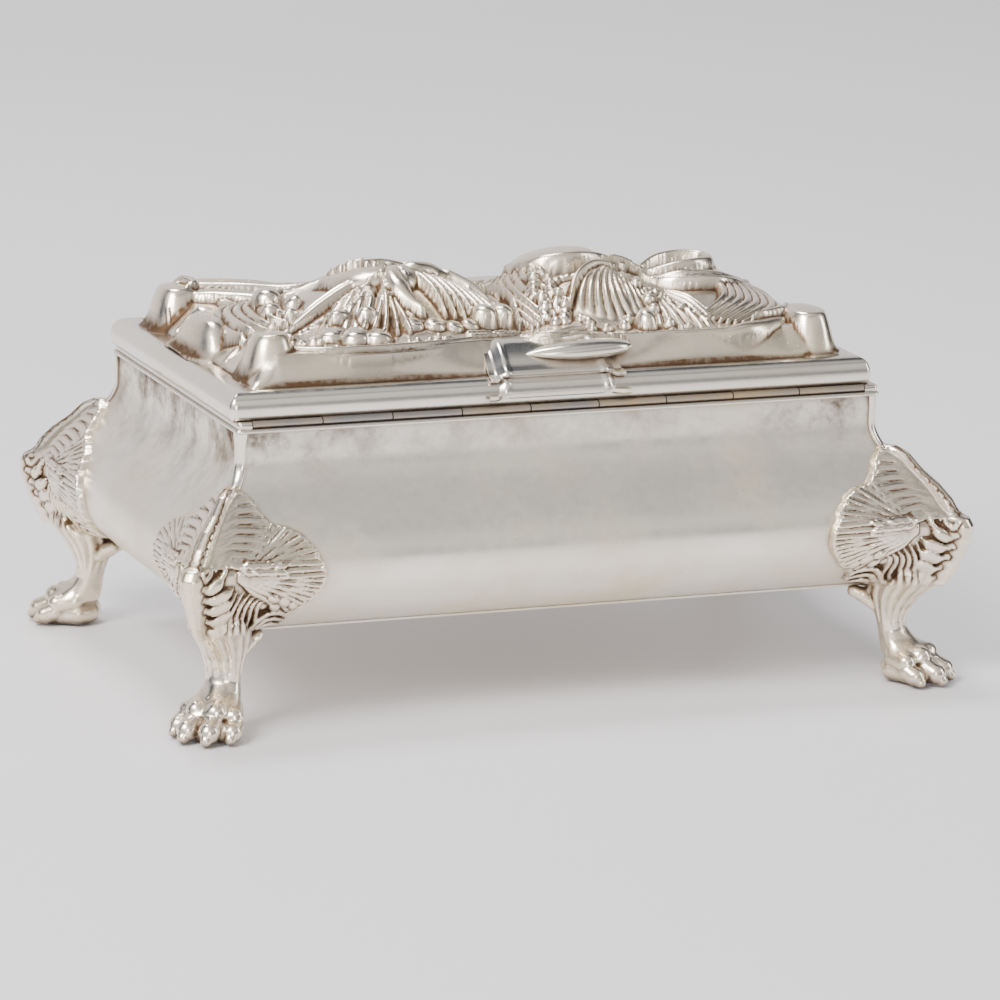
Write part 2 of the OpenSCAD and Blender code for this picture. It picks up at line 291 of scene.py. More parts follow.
velvet = velvetMaterial("velvet", (0.17, 0.02, 0.035))
boardPaper = cardMaterial()
for node in ("lower_hinge_leaf", "upper_hinge_leaf", "hinge_pin"):
    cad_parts[node].data.materials.clear()
    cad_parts[node].data.materials.append(brass)
for node in ("floor_card", "lid_card"):
    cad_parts[node].data.materials.clear()
    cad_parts[node].data.materials.append(boardPaper)
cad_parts["bottom_plate"].data.materials.clear()
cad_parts["bottom_plate"].data.materials.append(satinSilver)
print("materials done")


# helpers for meshes, all in mm
def newPiece(name, verts, faces, body, material, hides=(), sharp=40, attrs=None):
    mesh = bpy.data.meshes.new(name)
    mesh.from_pydata((np.asarray(verts, float) * mm).tolist(), [], [list(f) for f in faces])
    mesh.validate()
    mesh.shade_smooth()
    mesh.set_sharp_from_angle(angle=math.radians(sharp))
    for key, values in (attrs or {}).items():
        layer = mesh.attributes.new(key, "FLOAT", "POINT")
        layer.data.foreach_set("value", np.asarray(values, np.float32))
    mesh.materials.append(material)
    obj = bpy.data.objects.new(name, mesh)
    bpy.context.scene.collection.objects.link(obj)
    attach(obj, body)
    if hides:
        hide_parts(*hides)
    return obj


def gridFaces(rows, cols, wrapRows=False, wrapCols=False, flip=False):
    r = np.arange(rows if wrapRows else rows - 1)
    c = np.arange(cols if wrapCols else cols - 1)
    r, c = np.meshgrid(r, c, indexing="ij")
    r2, c2 = (r + 1) % rows, (c + 1) % cols
    quads = np.stack([r * cols + c, r * cols + c2, r2 * cols + c2, r2 * cols + c], -1).reshape(-1, 4)
    return quads[:, ::-1] if flip else quads


def ringPath(hx, hy, radius, steps, stops=()):
    points = []
    corners = [(1, 1, 0), (-1, 1, 90), (-1, -1, 180), (1, -1, 270)]
    for sx, sy, start in corners:
        for k in range(steps + 1):
            a = math.radians(start + 90 * k / steps)
            points.append((sx * (hx - radius) + radius * math.cos(a),
                           sy * (hy - radius) + radius * math.sin(a)))
        if (sx, sy) == (1, 1):
            points += [(s, hy) for s in sorted(stops, reverse=True)]
        if (sx, sy) == (-1, -1):
            points += [(s, -hy) for s in sorted(stops)]
    return points


def mitredRing(profile, hx, hy, radius, steps=6, stops=()):
    rings = [[(x, y, z) for x, y in ringPath(hx + out, hy + out, max(radius + out, 0.05), steps, stops)]
             for out, z in profile]
    verts = np.array(rings)
    return verts, gridFaces(len(profile), verts.shape[1], wrapRows=True, wrapCols=True)


def smoothStep(a, b, t):
    t = np.clip((t - a) / (b - a), 0, 1)
    return t * t * (3 - 2 * t)


def smoothMax(a, b, k):
    h = np.clip(0.5 + 0.5 * (a - b) / k, 0, 1)
    return b * (1 - h) + a * h + k * h * (1 - h)


def smoothMin(a, b, k):
    return -smoothMax(-a, -b, k)


def curve(points, per=10):
    p = np.array(points, float)
    p = np.vstack([2 * p[0] - p[1], p, 2 * p[-1] - p[-2]])
    out = []
    for k in range(1, len(p) - 2):
        a, b, c, d = p[k - 1:k + 3]
        for t in np.arange(per) / per:
            out.append(0.5 * (2 * b + (c - a) * t + (2 * a - 5 * b + 4 * c - d) * t ** 2
                              + (3 * b - a - 3 * c + d) * t ** 3))
    out.append(p[-2])
    return np.array(out)


class Relief:
    def __init__(self, xs, ys, base):
        self.xs, self.ys = xs, ys
        self.x, self.y = np.meshgrid(xs, ys)
        self.base = base(self.x, self.y)
        self.h = self.base.copy()
        self.under = self.base.copy()

    def window(self, low, high):
        i = np.searchsorted(self.ys, low[1]), np.searchsorted(self.ys, high[1])
        j = np.searchsorted(self.xs, low[0]), np.searchsorted(self.xs, high[0])
        win = (slice(*i), slice(*j))
        return win, self.x[win], self.y[win]

    def raiseTo(self, win, rise, mask, soft, lift=0.0):
        old = self.h[win]
        new = self.base[win] + lift + rise
        self.h[win] = np.where(mask, smoothMax(old, new, soft), old)

    def along(self, points, reach):
        c = curve(points)
        win, x, y = self.window(c.min(0) - reach, c.max(0) + reach)
        best = np.full(x.shape, 1e9)
        t = np.zeros(x.shape)
        side = np.ones(x.shape)
        for k in range(len(c) - 1):
            a, d = c[k], c[k + 1] - c[k]
            s = np.clip(((x - a[0]) * d[0] + (y - a[1]) * d[1]) / (d @ d + 1e-9), 0, 1)
            px, py = x - a[0] - s * d[0], y - a[1] - s * d[1]
            dist = np.hypot(px, py)
            near = dist < best
            best = np.where(near, dist, best)
            t = np.where(near, (k + s) / (len(c) - 1), t)
            side = np.where(near, np.sign(d[0] * py - d[1] * px), side)
        return win, best * side, t

    def ribbon(self, points, width, height, ends=(0.15, 0.15), flutes=0, depth=0.3, flat=2.0,
               soft=0.25, lift=0.0, edge=0.0, level=None):
        win, d, t = self.along(points, width)
        a, b = ends
        taper = (a + (1 - a) * smoothStep(0, 0.35, t)) * (b + (1 - b) * smoothStep(0, 0.45, 1 - t))
        w = width / 2 * taper
        q = np.clip(np.abs(d) / np.maximum(w, 1e-3), 0, 1)
        rise = height * (0.35 + 0.65 * taper) * np.maximum(1 - q ** flat, 0) ** 0.5
        if flutes:
            lobes = np.abs(np.sin(np.pi * flutes * (d / np.maximum(w, 1e-3) + 1) / 2))
            rise = rise + depth * taper * (lobes - 0.6)
        if edge:
            rise = rise + edge * taper * np.exp(-((q - 0.85) / 0.1) ** 2)
        if level is not None:
            self.h[win] = np.where(q < 1, smoothMax(self.h[win], level + rise, soft), self.h[win])
            return
        self.raiseTo(win, rise, q < 1, soft, lift)

    def fan(self, apex, aim, spread, length, flutes, height, depth=0.5, scallop=0.12, curl=0.5,
            bend=0.0, soft=0.25, lift=0.0, grow=1.0, fall=0.6):
        apex = np.array(apex, float)
        win, x, y = self.window(apex - length * 1.2, apex + length * 1.2)
        dx, dy = x - apex[0], y - apex[1]
        rho = np.hypot(dx, dy)
        phi = np.arctan2(dy, dx) - math.radians(aim) + bend * rho / length
        phi = (phi + np.pi) % (2 * np.pi) - np.pi
        u = phi / math.radians(spread / 2)
        phase = (u * 0.5 + 0.5) * flutes
        lobe = np.abs(np.sin(np.pi * phase))
        reach = length * (1 - (1 - grow) * u * u) * (1 - scallop * (1 - lobe) ** 2)
        q = rho / reach
        body = smoothStep(0, 0.3, q) * (1 - smoothStep(fall, 1.0, q))
        rise = height * body * (1 - 0.5 * np.clip(np.abs(u), 0, 1) ** 4)
        flute = depth * (lobe ** 0.7 - 0.6) * smoothStep(0.05, 0.4, q) * (1 - smoothStep(0.85, 1, q))
        rise = rise + lift * (1 - smoothStep(0.8, 1, q)) + flute
        rise = rise + curl * np.exp(-((q - 0.9) / 0.05) ** 2)
        self.raiseTo(win, rise, (np.abs(u) < 1) & (q < 1), soft)

    def lump(self, centre, size, height, turn=0.0, power=2.0, soft=0.2, lift=0.0, on=True):
        c = np.array(centre, float)
        big = max(size)
        win, x, y = self.window(c - big, c + big)
        ca, sa = math.cos(math.radians(turn)), math.sin(math.radians(turn))
        u = ((x - c[0]) * ca + (y - c[1]) * sa) / size[0]
        v = (-(x - c[0]) * sa + (y - c[1]) * ca) / size[1]
        q = np.hypot(u, v)
        rise = height * np.maximum(1 - q ** power, 0) ** 0.5
        ground = self.base[win]
        if on:
            row, col = np.searchsorted(self.ys, c[1]), np.searchsorted(self.xs, c[0])
            ground = np.maximum(ground, self.under[row, col] - 0.25 * height)
        old = self.h[win]
        self.h[win] = np.where(q < 1, smoothMax(old, ground + lift + rise, soft), old)

    def boss(self, centre, size, top, turn=0.0, crown=0.35, lean=(0, 0), foot=96.2, soft=1.2, dish=0.0):
        c = np.array(centre, float)
        big = max(size) * 1.2
        win, x, y = self.window(c - big, c + big)
        ca, sa = math.cos(math.radians(turn)), math.sin(math.radians(turn))
        u = ((x - c[0]) * ca + (y - c[1]) * sa) / size[0]
        v = (-(x - c[0]) * sa + (y - c[1]) * ca) / size[1]
        q = (np.abs(u) ** 2.3 + np.abs(v) ** 2.3) ** (1 / 2.3)
        wall = (top - foot - 1.6) * (1 - smoothStep(crown, 1.02, q)) ** 0.85
        rise = wall + 1.6 * np.maximum(1 - (q / 0.8) ** 2, 0)
        rise = rise + (u * lean[0] + v * lean[1]) * (1 - smoothStep(0.5, 1.0, q))
        rise = rise - dish * np.maximum(1 - (q / 0.55) ** 2, 0)
        old = self.h[win]
        self.h[win] = np.where(q < 1.02, smoothMax(old, foot + rise, soft), old)

    def settle(self):
        self.under = self.h.copy()

    def beads(self, points, count, size, lift=0.0, jitter=0.15):
        c = curve(points)
        self.settle()
        for k in range(count):
            p = c[int(round(k / max(count - 1, 1) * (len(c) - 1)))] + rng.normal(0, jitter * size, 2)
            s = size * rng.uniform(0.85, 1.15)
            self.lump(p, (s, s), s * 0.95, lift=lift, soft=0.08)

    def grains(self, points, count, size, lift=0.0):
        c = curve(points)
        self.settle()
        for k in range(count):
            i = int(k / count * (len(c) - 1))
            d = c[i + 1] - c[i]
            heading = math.degrees(math.atan2(d[1], d[0]))
            n = np.array([-d[1], d[0]]) / (np.hypot(*d) + 1e-9)
            for side in (-1, 1):
                self.lump(c[i] + n * side * size * 0.5, (size, size * 0.42), size * 0.55,
                          turn=heading + side * 32, lift=lift, soft=0.06)

    def groove(self, points, width, depth, ends=(0.3, 0.3)):
        win, d, t = self.along(points, width * 2.5)
        a, b = ends
        taper = (a + (1 - a) * smoothStep(0, 0.3, t)) * (b + (1 - b) * smoothStep(0, 0.3, 1 - t))
        self.h[win] -= depth * taper * np.exp(-(d / width) ** 2)


def blur(field, times):
    f = field.copy()
    for _ in range(times):
        f[1:-1] = (f[:-2] + 2 * f[1:-1] + f[2:]) / 4
        f[:, 1:-1] = (f[:, :-2] + 2 * f[:, 1:-1] + f[:, 2:]) / 4
    return f


# the body's sheet-metal panels, swept along their swelling profile
def panelSkin(name, node, along, sign):
    low, high = (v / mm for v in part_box(node))
    zs = np.linspace(low.z, high.z, 64)
    ts = np.linspace(-1, 1, 41)
    outer = swell(zs)
    loop = [(o, z) for o, z in zip(outer, zs)] + [(o - bodyShape["wall"], z) for o, z in zip(outer, zs)][::-1]
    verts = np.zeros((len(loop), len(ts), 3))
    for k, (out, z) in enumerate(loop):
        if along == "x":
            verts[k, :, 0] = ts * (halfX + out)
            verts[k, :, 1] = sign * (halfY + out)
        else:
            verts[k, :, 1] = ts * (halfY + out)
            verts[k, :, 0] = sign * (halfX + out)
        verts[k, :, 2] = z
    flip = (along == "x") == (sign > 0)
    faces = gridFaces(len(loop), len(ts), wrapRows=True, flip=flip).tolist()
    n = len(zs)
    for t in (0, len(ts) - 1):
        for k in range(n - 1):
            quad = [k * len(ts) + t, (k + 1) * len(ts) + t,
                    (2 * n - 2 - k) * len(ts) + t, (2 * n - 1 - k) * len(ts) + t]
            faces.append(quad if (t == 0) == flip else quad[::-1])
    return newPiece(name, verts.reshape(-1, 3), faces, "box", satinSilver, (node,))


panelSkin("backSkin", "back_panel", "x", 1)
panelSkin("frontSkin", "front_panel", "x", -1)
panelSkin("rightSkin", "right_panel", "y", 1)
panelSkin("leftSkin", "left_panel", "y", -1)


def ringPiece(name, profile, hx, hy, radius, body, material, hides, shift=(0, 0), stops=(), shape=None):
    verts, faces = mitredRing(profile, hx, hy, radius, stops=stops)
    verts = verts.reshape(-1, 3) + np.array([*shift, 0])
    if shape:
        verts = shape(verts)
    return newPiece(name, verts, faces, body, material, hides, sharp=50)


mouth = {"inset": 6.0, "step": 3.4, "rebateZ": 86.15, "end": 95.0}   # the rim's mouth and hinge rebate


def rimNotch(v):
    cut = (v[:, 1] > halfY - mouth["step"] - 0.05) & (np.abs(v[:, 0]) < mouth["end"] + 0.05)
    v[cut, 2] = np.minimum(v[cut, 2], mouth["rebateZ"])
    return v


def rimProfile():
    n = bodyShape["neckIn"]
    bead = [(-n + n * math.sin(a), 85.45 - 0.85 * math.cos(a)) for a in np.linspace(0.2, math.pi - 0.5, 8)]
    top = [(-0.75, 86.45), (-0.7, 86.7), (-0.7, rimTop - 0.25), (-0.95, rimTop), (-mouth["step"], rimTop),
           (-mouth["step"] - 0.1, rimTop), (-mouth["inset"], rimTop), (-mouth["inset"], rimFoot)]
    return bead + top


ringPiece("rimRing", rimProfile(), halfX, halfY, 2.0, "box", edgeSilver, ("rim_frame",),
          stops=(-mouth["end"] - 0.1, -mouth["end"], mouth["end"], mouth["end"] + 0.1), shape=rimNotch)
footProfile = [(0.9 * math.cos(a) - 0.3, bodyFoot + 0.6 + 0.6 * math.sin(a))
               for a in np.linspace(0, 2 * math.pi, 13)[:-1]]
ringPiece("footLip", footProfile, halfX, halfY, 2.0, "box", edgeSilver, ())

lidShift = ((lidLow.x + lidHigh.x) / 2, (lidLow.y + lidHigh.y) / 2)
lidHalf = ((lidHigh.x - lidLow.x) / 2, (lidHigh.y - lidLow.y) / 2)
restZ, frameTop = lidLow.z, lidHigh.z
hingeLine = {"y": 56.0, "z": 87.2, "clear": 88.3}


def lidNotch(v):
    cut = v[:, 1] > hingeLine["y"] - 3
    v[cut, 2] = np.maximum(v[cut, 2], hingeLine["clear"])
    return v


lidMoulding = [(-6.0, restZ), (-1.5, restZ), (-0.8, restZ + 0.3), (-0.3, restZ + 1.0), (0, restZ + 2.2),
               (0, restZ + 3.8), (-0.3, restZ + 5.1), (-0.9, restZ + 6.3), (-1.9, restZ + 7.3),
               (-3.3, restZ + 8.0), (-5.0, frameTop - 0.35), (-6.8, frameTop - 0.08), (-9.0, frameTop),
               (-14.0, frameTop), (-14.0, frameTop - 1.6), (-6.0, frameTop - 1.6)]
ringPiece("lidBorder", lidMoulding, lidHalf[0], lidHalf[1], 2.2, "lid", edgeSilver, ("lid_frame",),
          shift=lidShift, shape=lidNotch)
print("body and frames done")


# beads soldered over the body's four mitred corners
beadSet = {"wide": 1.75, "proud": 0.95, "sunk": 0.35, "sides": 20, "steps": 40}


def cornerBead(name, node, sx, sy, s=beadSet):
    low, high = (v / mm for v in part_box(node))
    zs = np.linspace(low.z - 3, high.z + 0.4, s["steps"])
    turn = np.linspace(0, 2 * math.pi, s["sides"] + 1)[:-1]
    out = swell(zs)
    slope = swellSlope(zs)
    rings = []
    for z, o, lean in zip(zs, out, slope):
        centre = np.array([sx * (halfX + o), sy * (halfY + o), z])
        outward = np.array([sx, sy, -2 * lean]) / math.sqrt(2 + 4 * lean * lean)
        across = np.array([-sy, sx, 0]) / math.sqrt(2)
        wide = s["wide"] * (1 + 0.25 * smoothStep(high.z - 4, high.z, z))   # spreads under the rim
        rings.append([centre + across * wide * math.cos(a)
                      + outward * (s["proud"] * max(math.sin(a), -0.8) - s["sunk"]) for a in turn])
    verts = np.array(rings)
    faces = gridFaces(len(zs), s["sides"], wrapCols=True, flip=sx * sy > 0).tolist()
    foot = list(range(s["sides"]))
    top = [(len(zs) - 1) * s["sides"] + k for k in foot]
    faces += [foot[::-1], top] if sx * sy < 0 else [foot, top[::-1]]
    newPiece(name, verts.reshape(-1, 3), faces, "box", edgeSilver, (node,))


cornerBead("backLeftBead", "back_left_strip", -1, 1)
cornerBead("backRightBead", "back_right_strip", 1, 1)
cornerBead("frontLeftBead", "front_left_strip", -1, -1)
cornerBead("frontRightBead", "front_right_strip", 1, -1)

# the lid's cast relief
# It is laid out as seen from the hinge side, x to the right and y away, then turned half a turn.
blockSet = {"halfX": 91.0, "halfY": 50.5, "corner": 7.0, "wall": 8.3, "foot": frameTop}


def inset(x, y, s=blockSet):
    qx, qy = np.abs(x) - (s["halfX"] - s["corner"]), np.abs(y) - (s["halfY"] - s["corner"])
    outside = np.hypot(np.maximum(qx, 0), np.maximum(qy, 0))
    return s["corner"] - outside - np.minimum(np.maximum(qx, qy), 0)


def dome(x, y, cx, cy, ax, ay, height):
    return height * (1 - smoothStep(0.12, 1.0, np.hypot((x - cx) / ax, (y - cy) / ay)))


def lidGround(x, y):
    near = np.interp(x, [-75, -60, -48, -35, -20, -5, 24, 34, 45, 57, 67, 75, 84],
                     [4.0, 2.8, 3.0, 4.8, 7.8, 9.5, 7.0, 4.6, 3.4, 3.4, 5.5, 8.0, 4.5])
    slope = np.where(y < -30, near, 4.6)
    longSide = np.clip((blockSet["halfY"] - np.abs(y) + 0.3) / slope, 0, 1) ** 0.72
    shortSide = np.clip((blockSet["halfX"] - np.abs(x) + 0.3) / 9.0, 0, 1) ** 0.85
    wall = blockSet["wall"] * longSide * shortSide
    rise = np.maximum(dome(x, y, -35, -6, 46, 42, 13.0), dome(x, y, 25, -4, 42, 42, 12.6))
    rise = np.maximum(rise, dome(x, y, 60, -2, 34, 42, 8.8))
    return blockSet["foot"] + wall + rise


# the grid is finest on the hinge side
reliefY = np.concatenate([np.arange(-54, -20, 0.34), np.arange(-20, 20, 0.45), np.arange(20, 55.01, 0.65)])
lid = Relief(np.arange(-97, 97.01, 0.48), reliefY, lidGround)


def farHalf(r):
    for side in (-1, 1):
        r.fan((side * 24, 18), 90 - side * 20, 110, 20, 9, 2.0, depth=0.9, lift=-0.5)
        r.fan((side * 52, 16), 90 - side * 45, 120, 24, 11, 1.6, depth=0.8)
        r.ribbon([(side * 80, 40), (side * 60, 44.5), (side * 40, 42), (side * 18, 37), (0, 34)], 4.2, 1.6,
                 flutes=2)
        r.ribbon([(side * 14, 16), (side * 10, 26), (side * 20, 33), (side * 26, 27)], 3.2, 1.8)
        r.ribbon([(side * 66, 10), (side * 74, 20), (side * 70, 32), (side * 56, 38)], 5.0, 1.8, flutes=3)
    r.boss((0, 46), (19, 8), 105.5)
    r.beads([(-40, 34), (-30, 38), (-18, 34)], 9, 1.1)
    r.beads([(40, 34), (30, 38), (18, 34)], 9, 1.1)
    r.ribbon([(20, -3), (28, 8), (42, 14), (58, 12)], 8, 2.6, flutes=4, depth=0.7)
    r.ribbon([(-20, -3), (-28, 8), (-44, 14), (-60, 12)], 9, 2.6, flutes=4, depth=0.7)


def leftEnd(r):
    r.boss((-85.0, 37), (9.5, 12), 109.0, crown=0.45)
    r.boss((-88.0, 0), (8.5, 18.5), 107.3, turn=4, crown=0.3, dish=0.4)
    r.boss((-82.0, -38.5), (10.2, 11.8), 109.8, turn=-10, crown=0.42, lean=(0.5, -1.0))
    r.settle()
    r.ribbon([(-90, 28), (-89, 37), (-83, 40), (-80, 35), (-85, 32.5)], 3.4, 1.6, flutes=2, depth=0.5,
             lift=4.6, soft=0.3)
    r.ribbon([(-88, 40), (-76, 39), (-60, 33), (-44, 22)], 9.0, 2.6, flutes=3, depth=0.45, lift=2.4, soft=1.0)
    r.ribbon([(-86, 32), (-76, 31), (-64, 24), (-52, 14)], 8.0, 2.2, flutes=3, depth=0.45, lift=1.4, soft=1.0)
    for k in range(6):
        x = -84 + k * 3.0
        r.ribbon([(x + 2, -26 + k * 1.5), (x - 1.5, -12), (x + 1.5, 6), (x + 12, 20)], 3.3, 2.6,
                 ends=(0.3, 0.3), soft=0.12, lift=0.4 + 0.25 * k)
    r.groove([(-90, 20.5), (-86, 21.5), (-80, 21)], 1.6, 2.2)
    r.groove([(-90, -22), (-86, -22.5), (-80, -21)], 1.3, 2.0)


def leftMound(r):
    r.ribbon([(-53, -3), (-47, -11), (-37, -14.5), (-27, -9), (-19, -3)], 13, 4.0, ends=(0.4, 0.1),
             soft=0.2, flat=2.6)
    r.ribbon([(-50, 1), (-43, -4), (-34, -4), (-26, -1)], 3.4, 4.6, ends=(0.5, 0.3), soft=0.2)
    r.beads([(-50, 0), (-43, -5), (-35, -6), (-27, -2)], 22, 0.95)
    r.ribbon([(-35, -10), (-28, -11.5), (-21, -10), (-14, -9)], 6.5, 3.4, ends=(0.1, 0.1), lift=1.6)
    r.ribbon([(-21, -4), (-15, -8), (-9, -13), (-5, -19)], 5.0, 3.2, flutes=2, depth=0.6, lift=1.2,
             ends=(0.3, 0.2))
    r.fan((-40, -14), 214, 46, 30, 6, 2.0, depth=0.7, bend=-0.35, lift=0.4, scallop=0.05, curl=0.2)
    r.ribbon([(-41, -14), (-52, -15), (-64, -19), (-74, -26)], 4.5, 2.2, flutes=2, depth=0.6, lift=0.9)
    r.beads([(-42, -17), (-50, -19.5), (-58, -21.5), (-68, -25)], 26, 0.75, jitter=0.3)
    r.beads([(-44, -20), (-52, -24), (-62, -28.5), (-70, -33)], 26, 0.75, jitter=0.4)
    r.ribbon([(-35, -12.5), (-37.2, -18), (-36.6, -25), (-33, -31)], 7.0, 4.6, ends=(0.6, 0.35), flat=2.6,
             lift=0.6)
    r.beads([(-38.4, -12.5), (-40.6, -18), (-40, -25), (-36, -31)], 19, 0.85, jitter=0.3)
    r.beads([(-33.6, -12.5), (-33.4, -18), (-33.4, -25)], 15, 0.75, jitter=0.3)
    for k in range(7):
        x = -30.5 + k * 3.1
        r.ribbon([(x, -11.5 - k * 0.4), (x + 2.6, -17 - k * 0.6), (x + 4.6, -24 - k * 0.7),
                  (x + 4.6, -32 + k * 0.3)], 3.1, 2.5, ends=(0.5, 0.3), lift=1.2 - 0.1 * k, soft=0.1)
    for k in range(5):
        a = -1.6 + k * 0.85
        r.ribbon([(-41, -19), (-42.5 + a * 1.4, -26), (-45 + a * 3.2, -33), (-47.5 + a * 4.6, -38.5)], 1.9,
                 3.4 - abs(a), ends=(0.5, 0.5), lift=1.0, soft=0.08)
    r.ribbon([(-44, -20), (-48, -28), (-52, -35)], 2.8, 2.4, lift=1.2, ends=(0.2, 0.6))
    r.settle()
    for x, y, a, b, h in ((-61, -33, 4.6, 4.0, 2.6), (-55.5, -37.5, 4.6, 4.2, 3.4),
                          (-49.6, -39.5, 4.4, 3.8, 2.8), (-37, -35, 3.0, 2.6, 1.6),
                          (-30.5, -35.5, 3.0, 2.6, 1.7), (-24.5, -36, 2.6, 2.4, 1.5),
                          (-13.5, -30, 3.9, 4.2, 3.6), (-7.5, -28, 3.4, 4.4, 3.4),
                          (-19, -34, 2.6, 2.4, 1.6), (-70, -1, 4.4, 5.0, 4.4), (-64.5, -7, 3.0, 3.4, 3.6),
                          (-72, -11, 3.2, 2.8, 2.8), (-68, -17, 2.6, 2.2, 2.2), (-74, -28, 3.0, 2.4, 2.6),
                          (-68, -38, 2.6, 2.0, 2.2), (-57, -27, 3.4, 2.6, 2.2), (-50, -31, 2.8, 2.6, 2.4)):
        r.lump((x, y), (a, b), h, turn=rng.uniform(-30, 30), power=2.6, soft=0.2)
    r.beads([(-75, -18), (-73, -32), (-62, -42), (-44, -44), (-28, -41)], 44, 0.95, jitter=0.9)
    r.ribbon([(-7, 2), (-3, -8), (-0.7, -17), (-1.6, -26), (-3.4, -34)], 1.5, 4.0, ends=(0.5, 0.3),
             lift=1.4, soft=0.08)
    for k in range(3):
        r.groove([(-14 + k * 2.2, -4 - k), (-8 + k * 1.6, -12), (-5 + k, -20)], 0.5, 0.8)


def border(r):
    path = [(-79, -35), (-76, -41), (-69, -45.4), (-60, -46.8), (-48, -46.6), (-35, -44.6), (-20, -40.8),
            (-5, -37.8)]
    r.ribbon(path, 2.5, 1.5, ends=(0.4, 0.4), soft=0.1, level=104.6)
    r.ribbon([(x + 0.4, y - 1.7) for x, y in path[1:]], 1.8, 1.0, ends=(0.4, 0.4), soft=0.4, level=103.0)
    r.ribbon([(x, y + 2.2) for x, y in path[1:]], 1.4, 0.9, ends=(0.4, 0.4), soft=0.1, level=104.6)
    r.grains([(-21, -39.5), (-13, -38.3), (-5, -36.3)], 9, 1.8)
    r.ribbon([(-6, -40), (-1, -43.5), (5, -44), (9, -41), (15, -41), (22, -44.5)], 2.8, 1.8, flutes=2,
             depth=0.7, soft=0.1, level=104.4)
    r.ribbon([(-8, -43), (-2, -45.8), (4, -46.4), (10, -44), (17, -43.5), (25, -46.4)], 2.4, 1.3, flutes=2,
             depth=0.6, soft=0.1, level=104.2)
    r.ribbon([(-1, -38.5), (6, -40), (12, -37.5), (20, -39.5), (27, -43)], 2.2, 1.8, soft=0.1, level=104.6)
    r.ribbon([(25, -43.5), (34, -45.2), (45, -46.4), (57, -46.4), (67, -43.4), (75, -38)], 2.0, 0.9,
             ends=(0.3, 0.4), soft=0.2, level=104.5)
    r.ribbon([(46, -47.4), (57, -47.0), (66, -45.0), (73, -41.5), (80, -39), (85, -37)], 6.4, 5.0,
             ends=(0.1, 0.6), soft=1.0, flat=2.0, level=101.6)


def rightMound(r):
    for k in range(8):
        x = -3 + k * 2.1
        r.ribbon([(x + 8, 6), (x + 1, -4), (x - 0.5, -15), (x + 1.5, -26), (x + 3.5, -34 + k * 1.0)], 2.1,
                 2.2, ends=(0.4, 0.4), soft=0.08, lift=0.3 + 0.12 * k)
    r.lump((20, 1.5), (14.5, 10), 3.6, power=7, soft=0.3, lift=0.9, on=False)
    r.lump((20, 3.0), (11.5, 7), -1.2, lift=0.0, on=False)
    r.ribbon([(6.5, 3), (11, -6.5), (20, -9.5), (30, -7.8), (37, -4)], 4.0, 3.8, ends=(0.5, 0.2), flat=3,
             soft=0.2, lift=1.6)
    r.groove([(8, -3.8), (13, -9.4), (21, -12.0), (31, -10.6)], 0.6, 1.6)
    r.beads([(10, -11), (16, -14.5), (24, -15.6), (33, -13)], 18, 1.35, jitter=0.5)
    r.beads([(9, -14), (6.5, -20), (7.5, -27), (11, -34)], 13, 1.9, jitter=0.5)
    r.beads([(12, -17), (11, -23), (13, -30), (18, -36)], 13, 1.6, jitter=0.5)
    r.fan((35.5, -12.5), 222, 62, 26, 8, 2.6, depth=1.1, bend=-0.5, curl=0.1, scallop=0.03, lift=0.8,
          soft=0.1)
    r.fan((36, -12.8), 264, 40, 25, 7, 2.6, depth=1.1, bend=-0.2, curl=0.1, scallop=0.03, lift=1.2, soft=0.1)
    r.ribbon([(36, -12), (27, -15), (19, -21), (14, -29)], 2.4, 2.8, ends=(0.3, 0.3), lift=1.8, soft=0.1)
    r.ribbon([(33, -6), (40, -6), (47, -9)], 4.0, 2.6, lift=1.6)
    r.grains([(34, -7.5), (39, -7.5), (45, -9)], 10, 1.6)
    r.fan((39, -12), 306, 50, 36, 8, 2.4, depth=1.1, bend=0.35, curl=0.1, scallop=0.03, lift=0.6, soft=0.1,
          grow=0.8)
    r.beads([(38, -15), (41, -22), (47, -30), (55, -38)], 26, 1.0, jitter=0.5)
    r.beads([(38, -18), (37.5, -25), (39, -32)], 9, 1.9, jitter=0.6)
    r.settle()
    r.lump((34, -39.5), (3.3, 3.8), 5.0, power=2.4)
    for x, y, s in ((27, -40, 2.0), (21, -41, 1.8), (30, -36.5, 1.8), (41, -40.5, 2.0), (46, -43, 1.7),
                    (17, -39.5, 1.6)):
        r.lump((x, y), (s, s * 0.85), s * 1.1, turn=rng.uniform(0, 90))
    for k in range(8):
        a = 4 + k * 3.1
        r.ribbon([(58 - a * 0.1, -5 - a * 0.15), (63 + a * 0.66, -11 - a * 0.12),
                  (62 + a * 0.78, -24 - a * 0.15), (50 + a * 0.6, -34 - a * 0.36)], 3.0, 2.1,
                 ends=(0.3, 0.35), soft=0.1, lift=0.3)
    r.ribbon([(44, -8), (52, -14), (62, -16.5), (72, -15), (80, -9)], 6.0, 2.4, flutes=3, depth=0.8, lift=1.6)
    r.ribbon([(43, -6), (50, -10), (60, -11), (67.5, -7), (68, 0), (61, 3), (53, 1), (47, -3)], 3.4, 3.4,
             ends=(0.3, 0.5), lift=2.4, flat=3)
    r.lump((59.5, -3.5), (7.5, 3.6), -2.0, lift=-0.2, on=False)


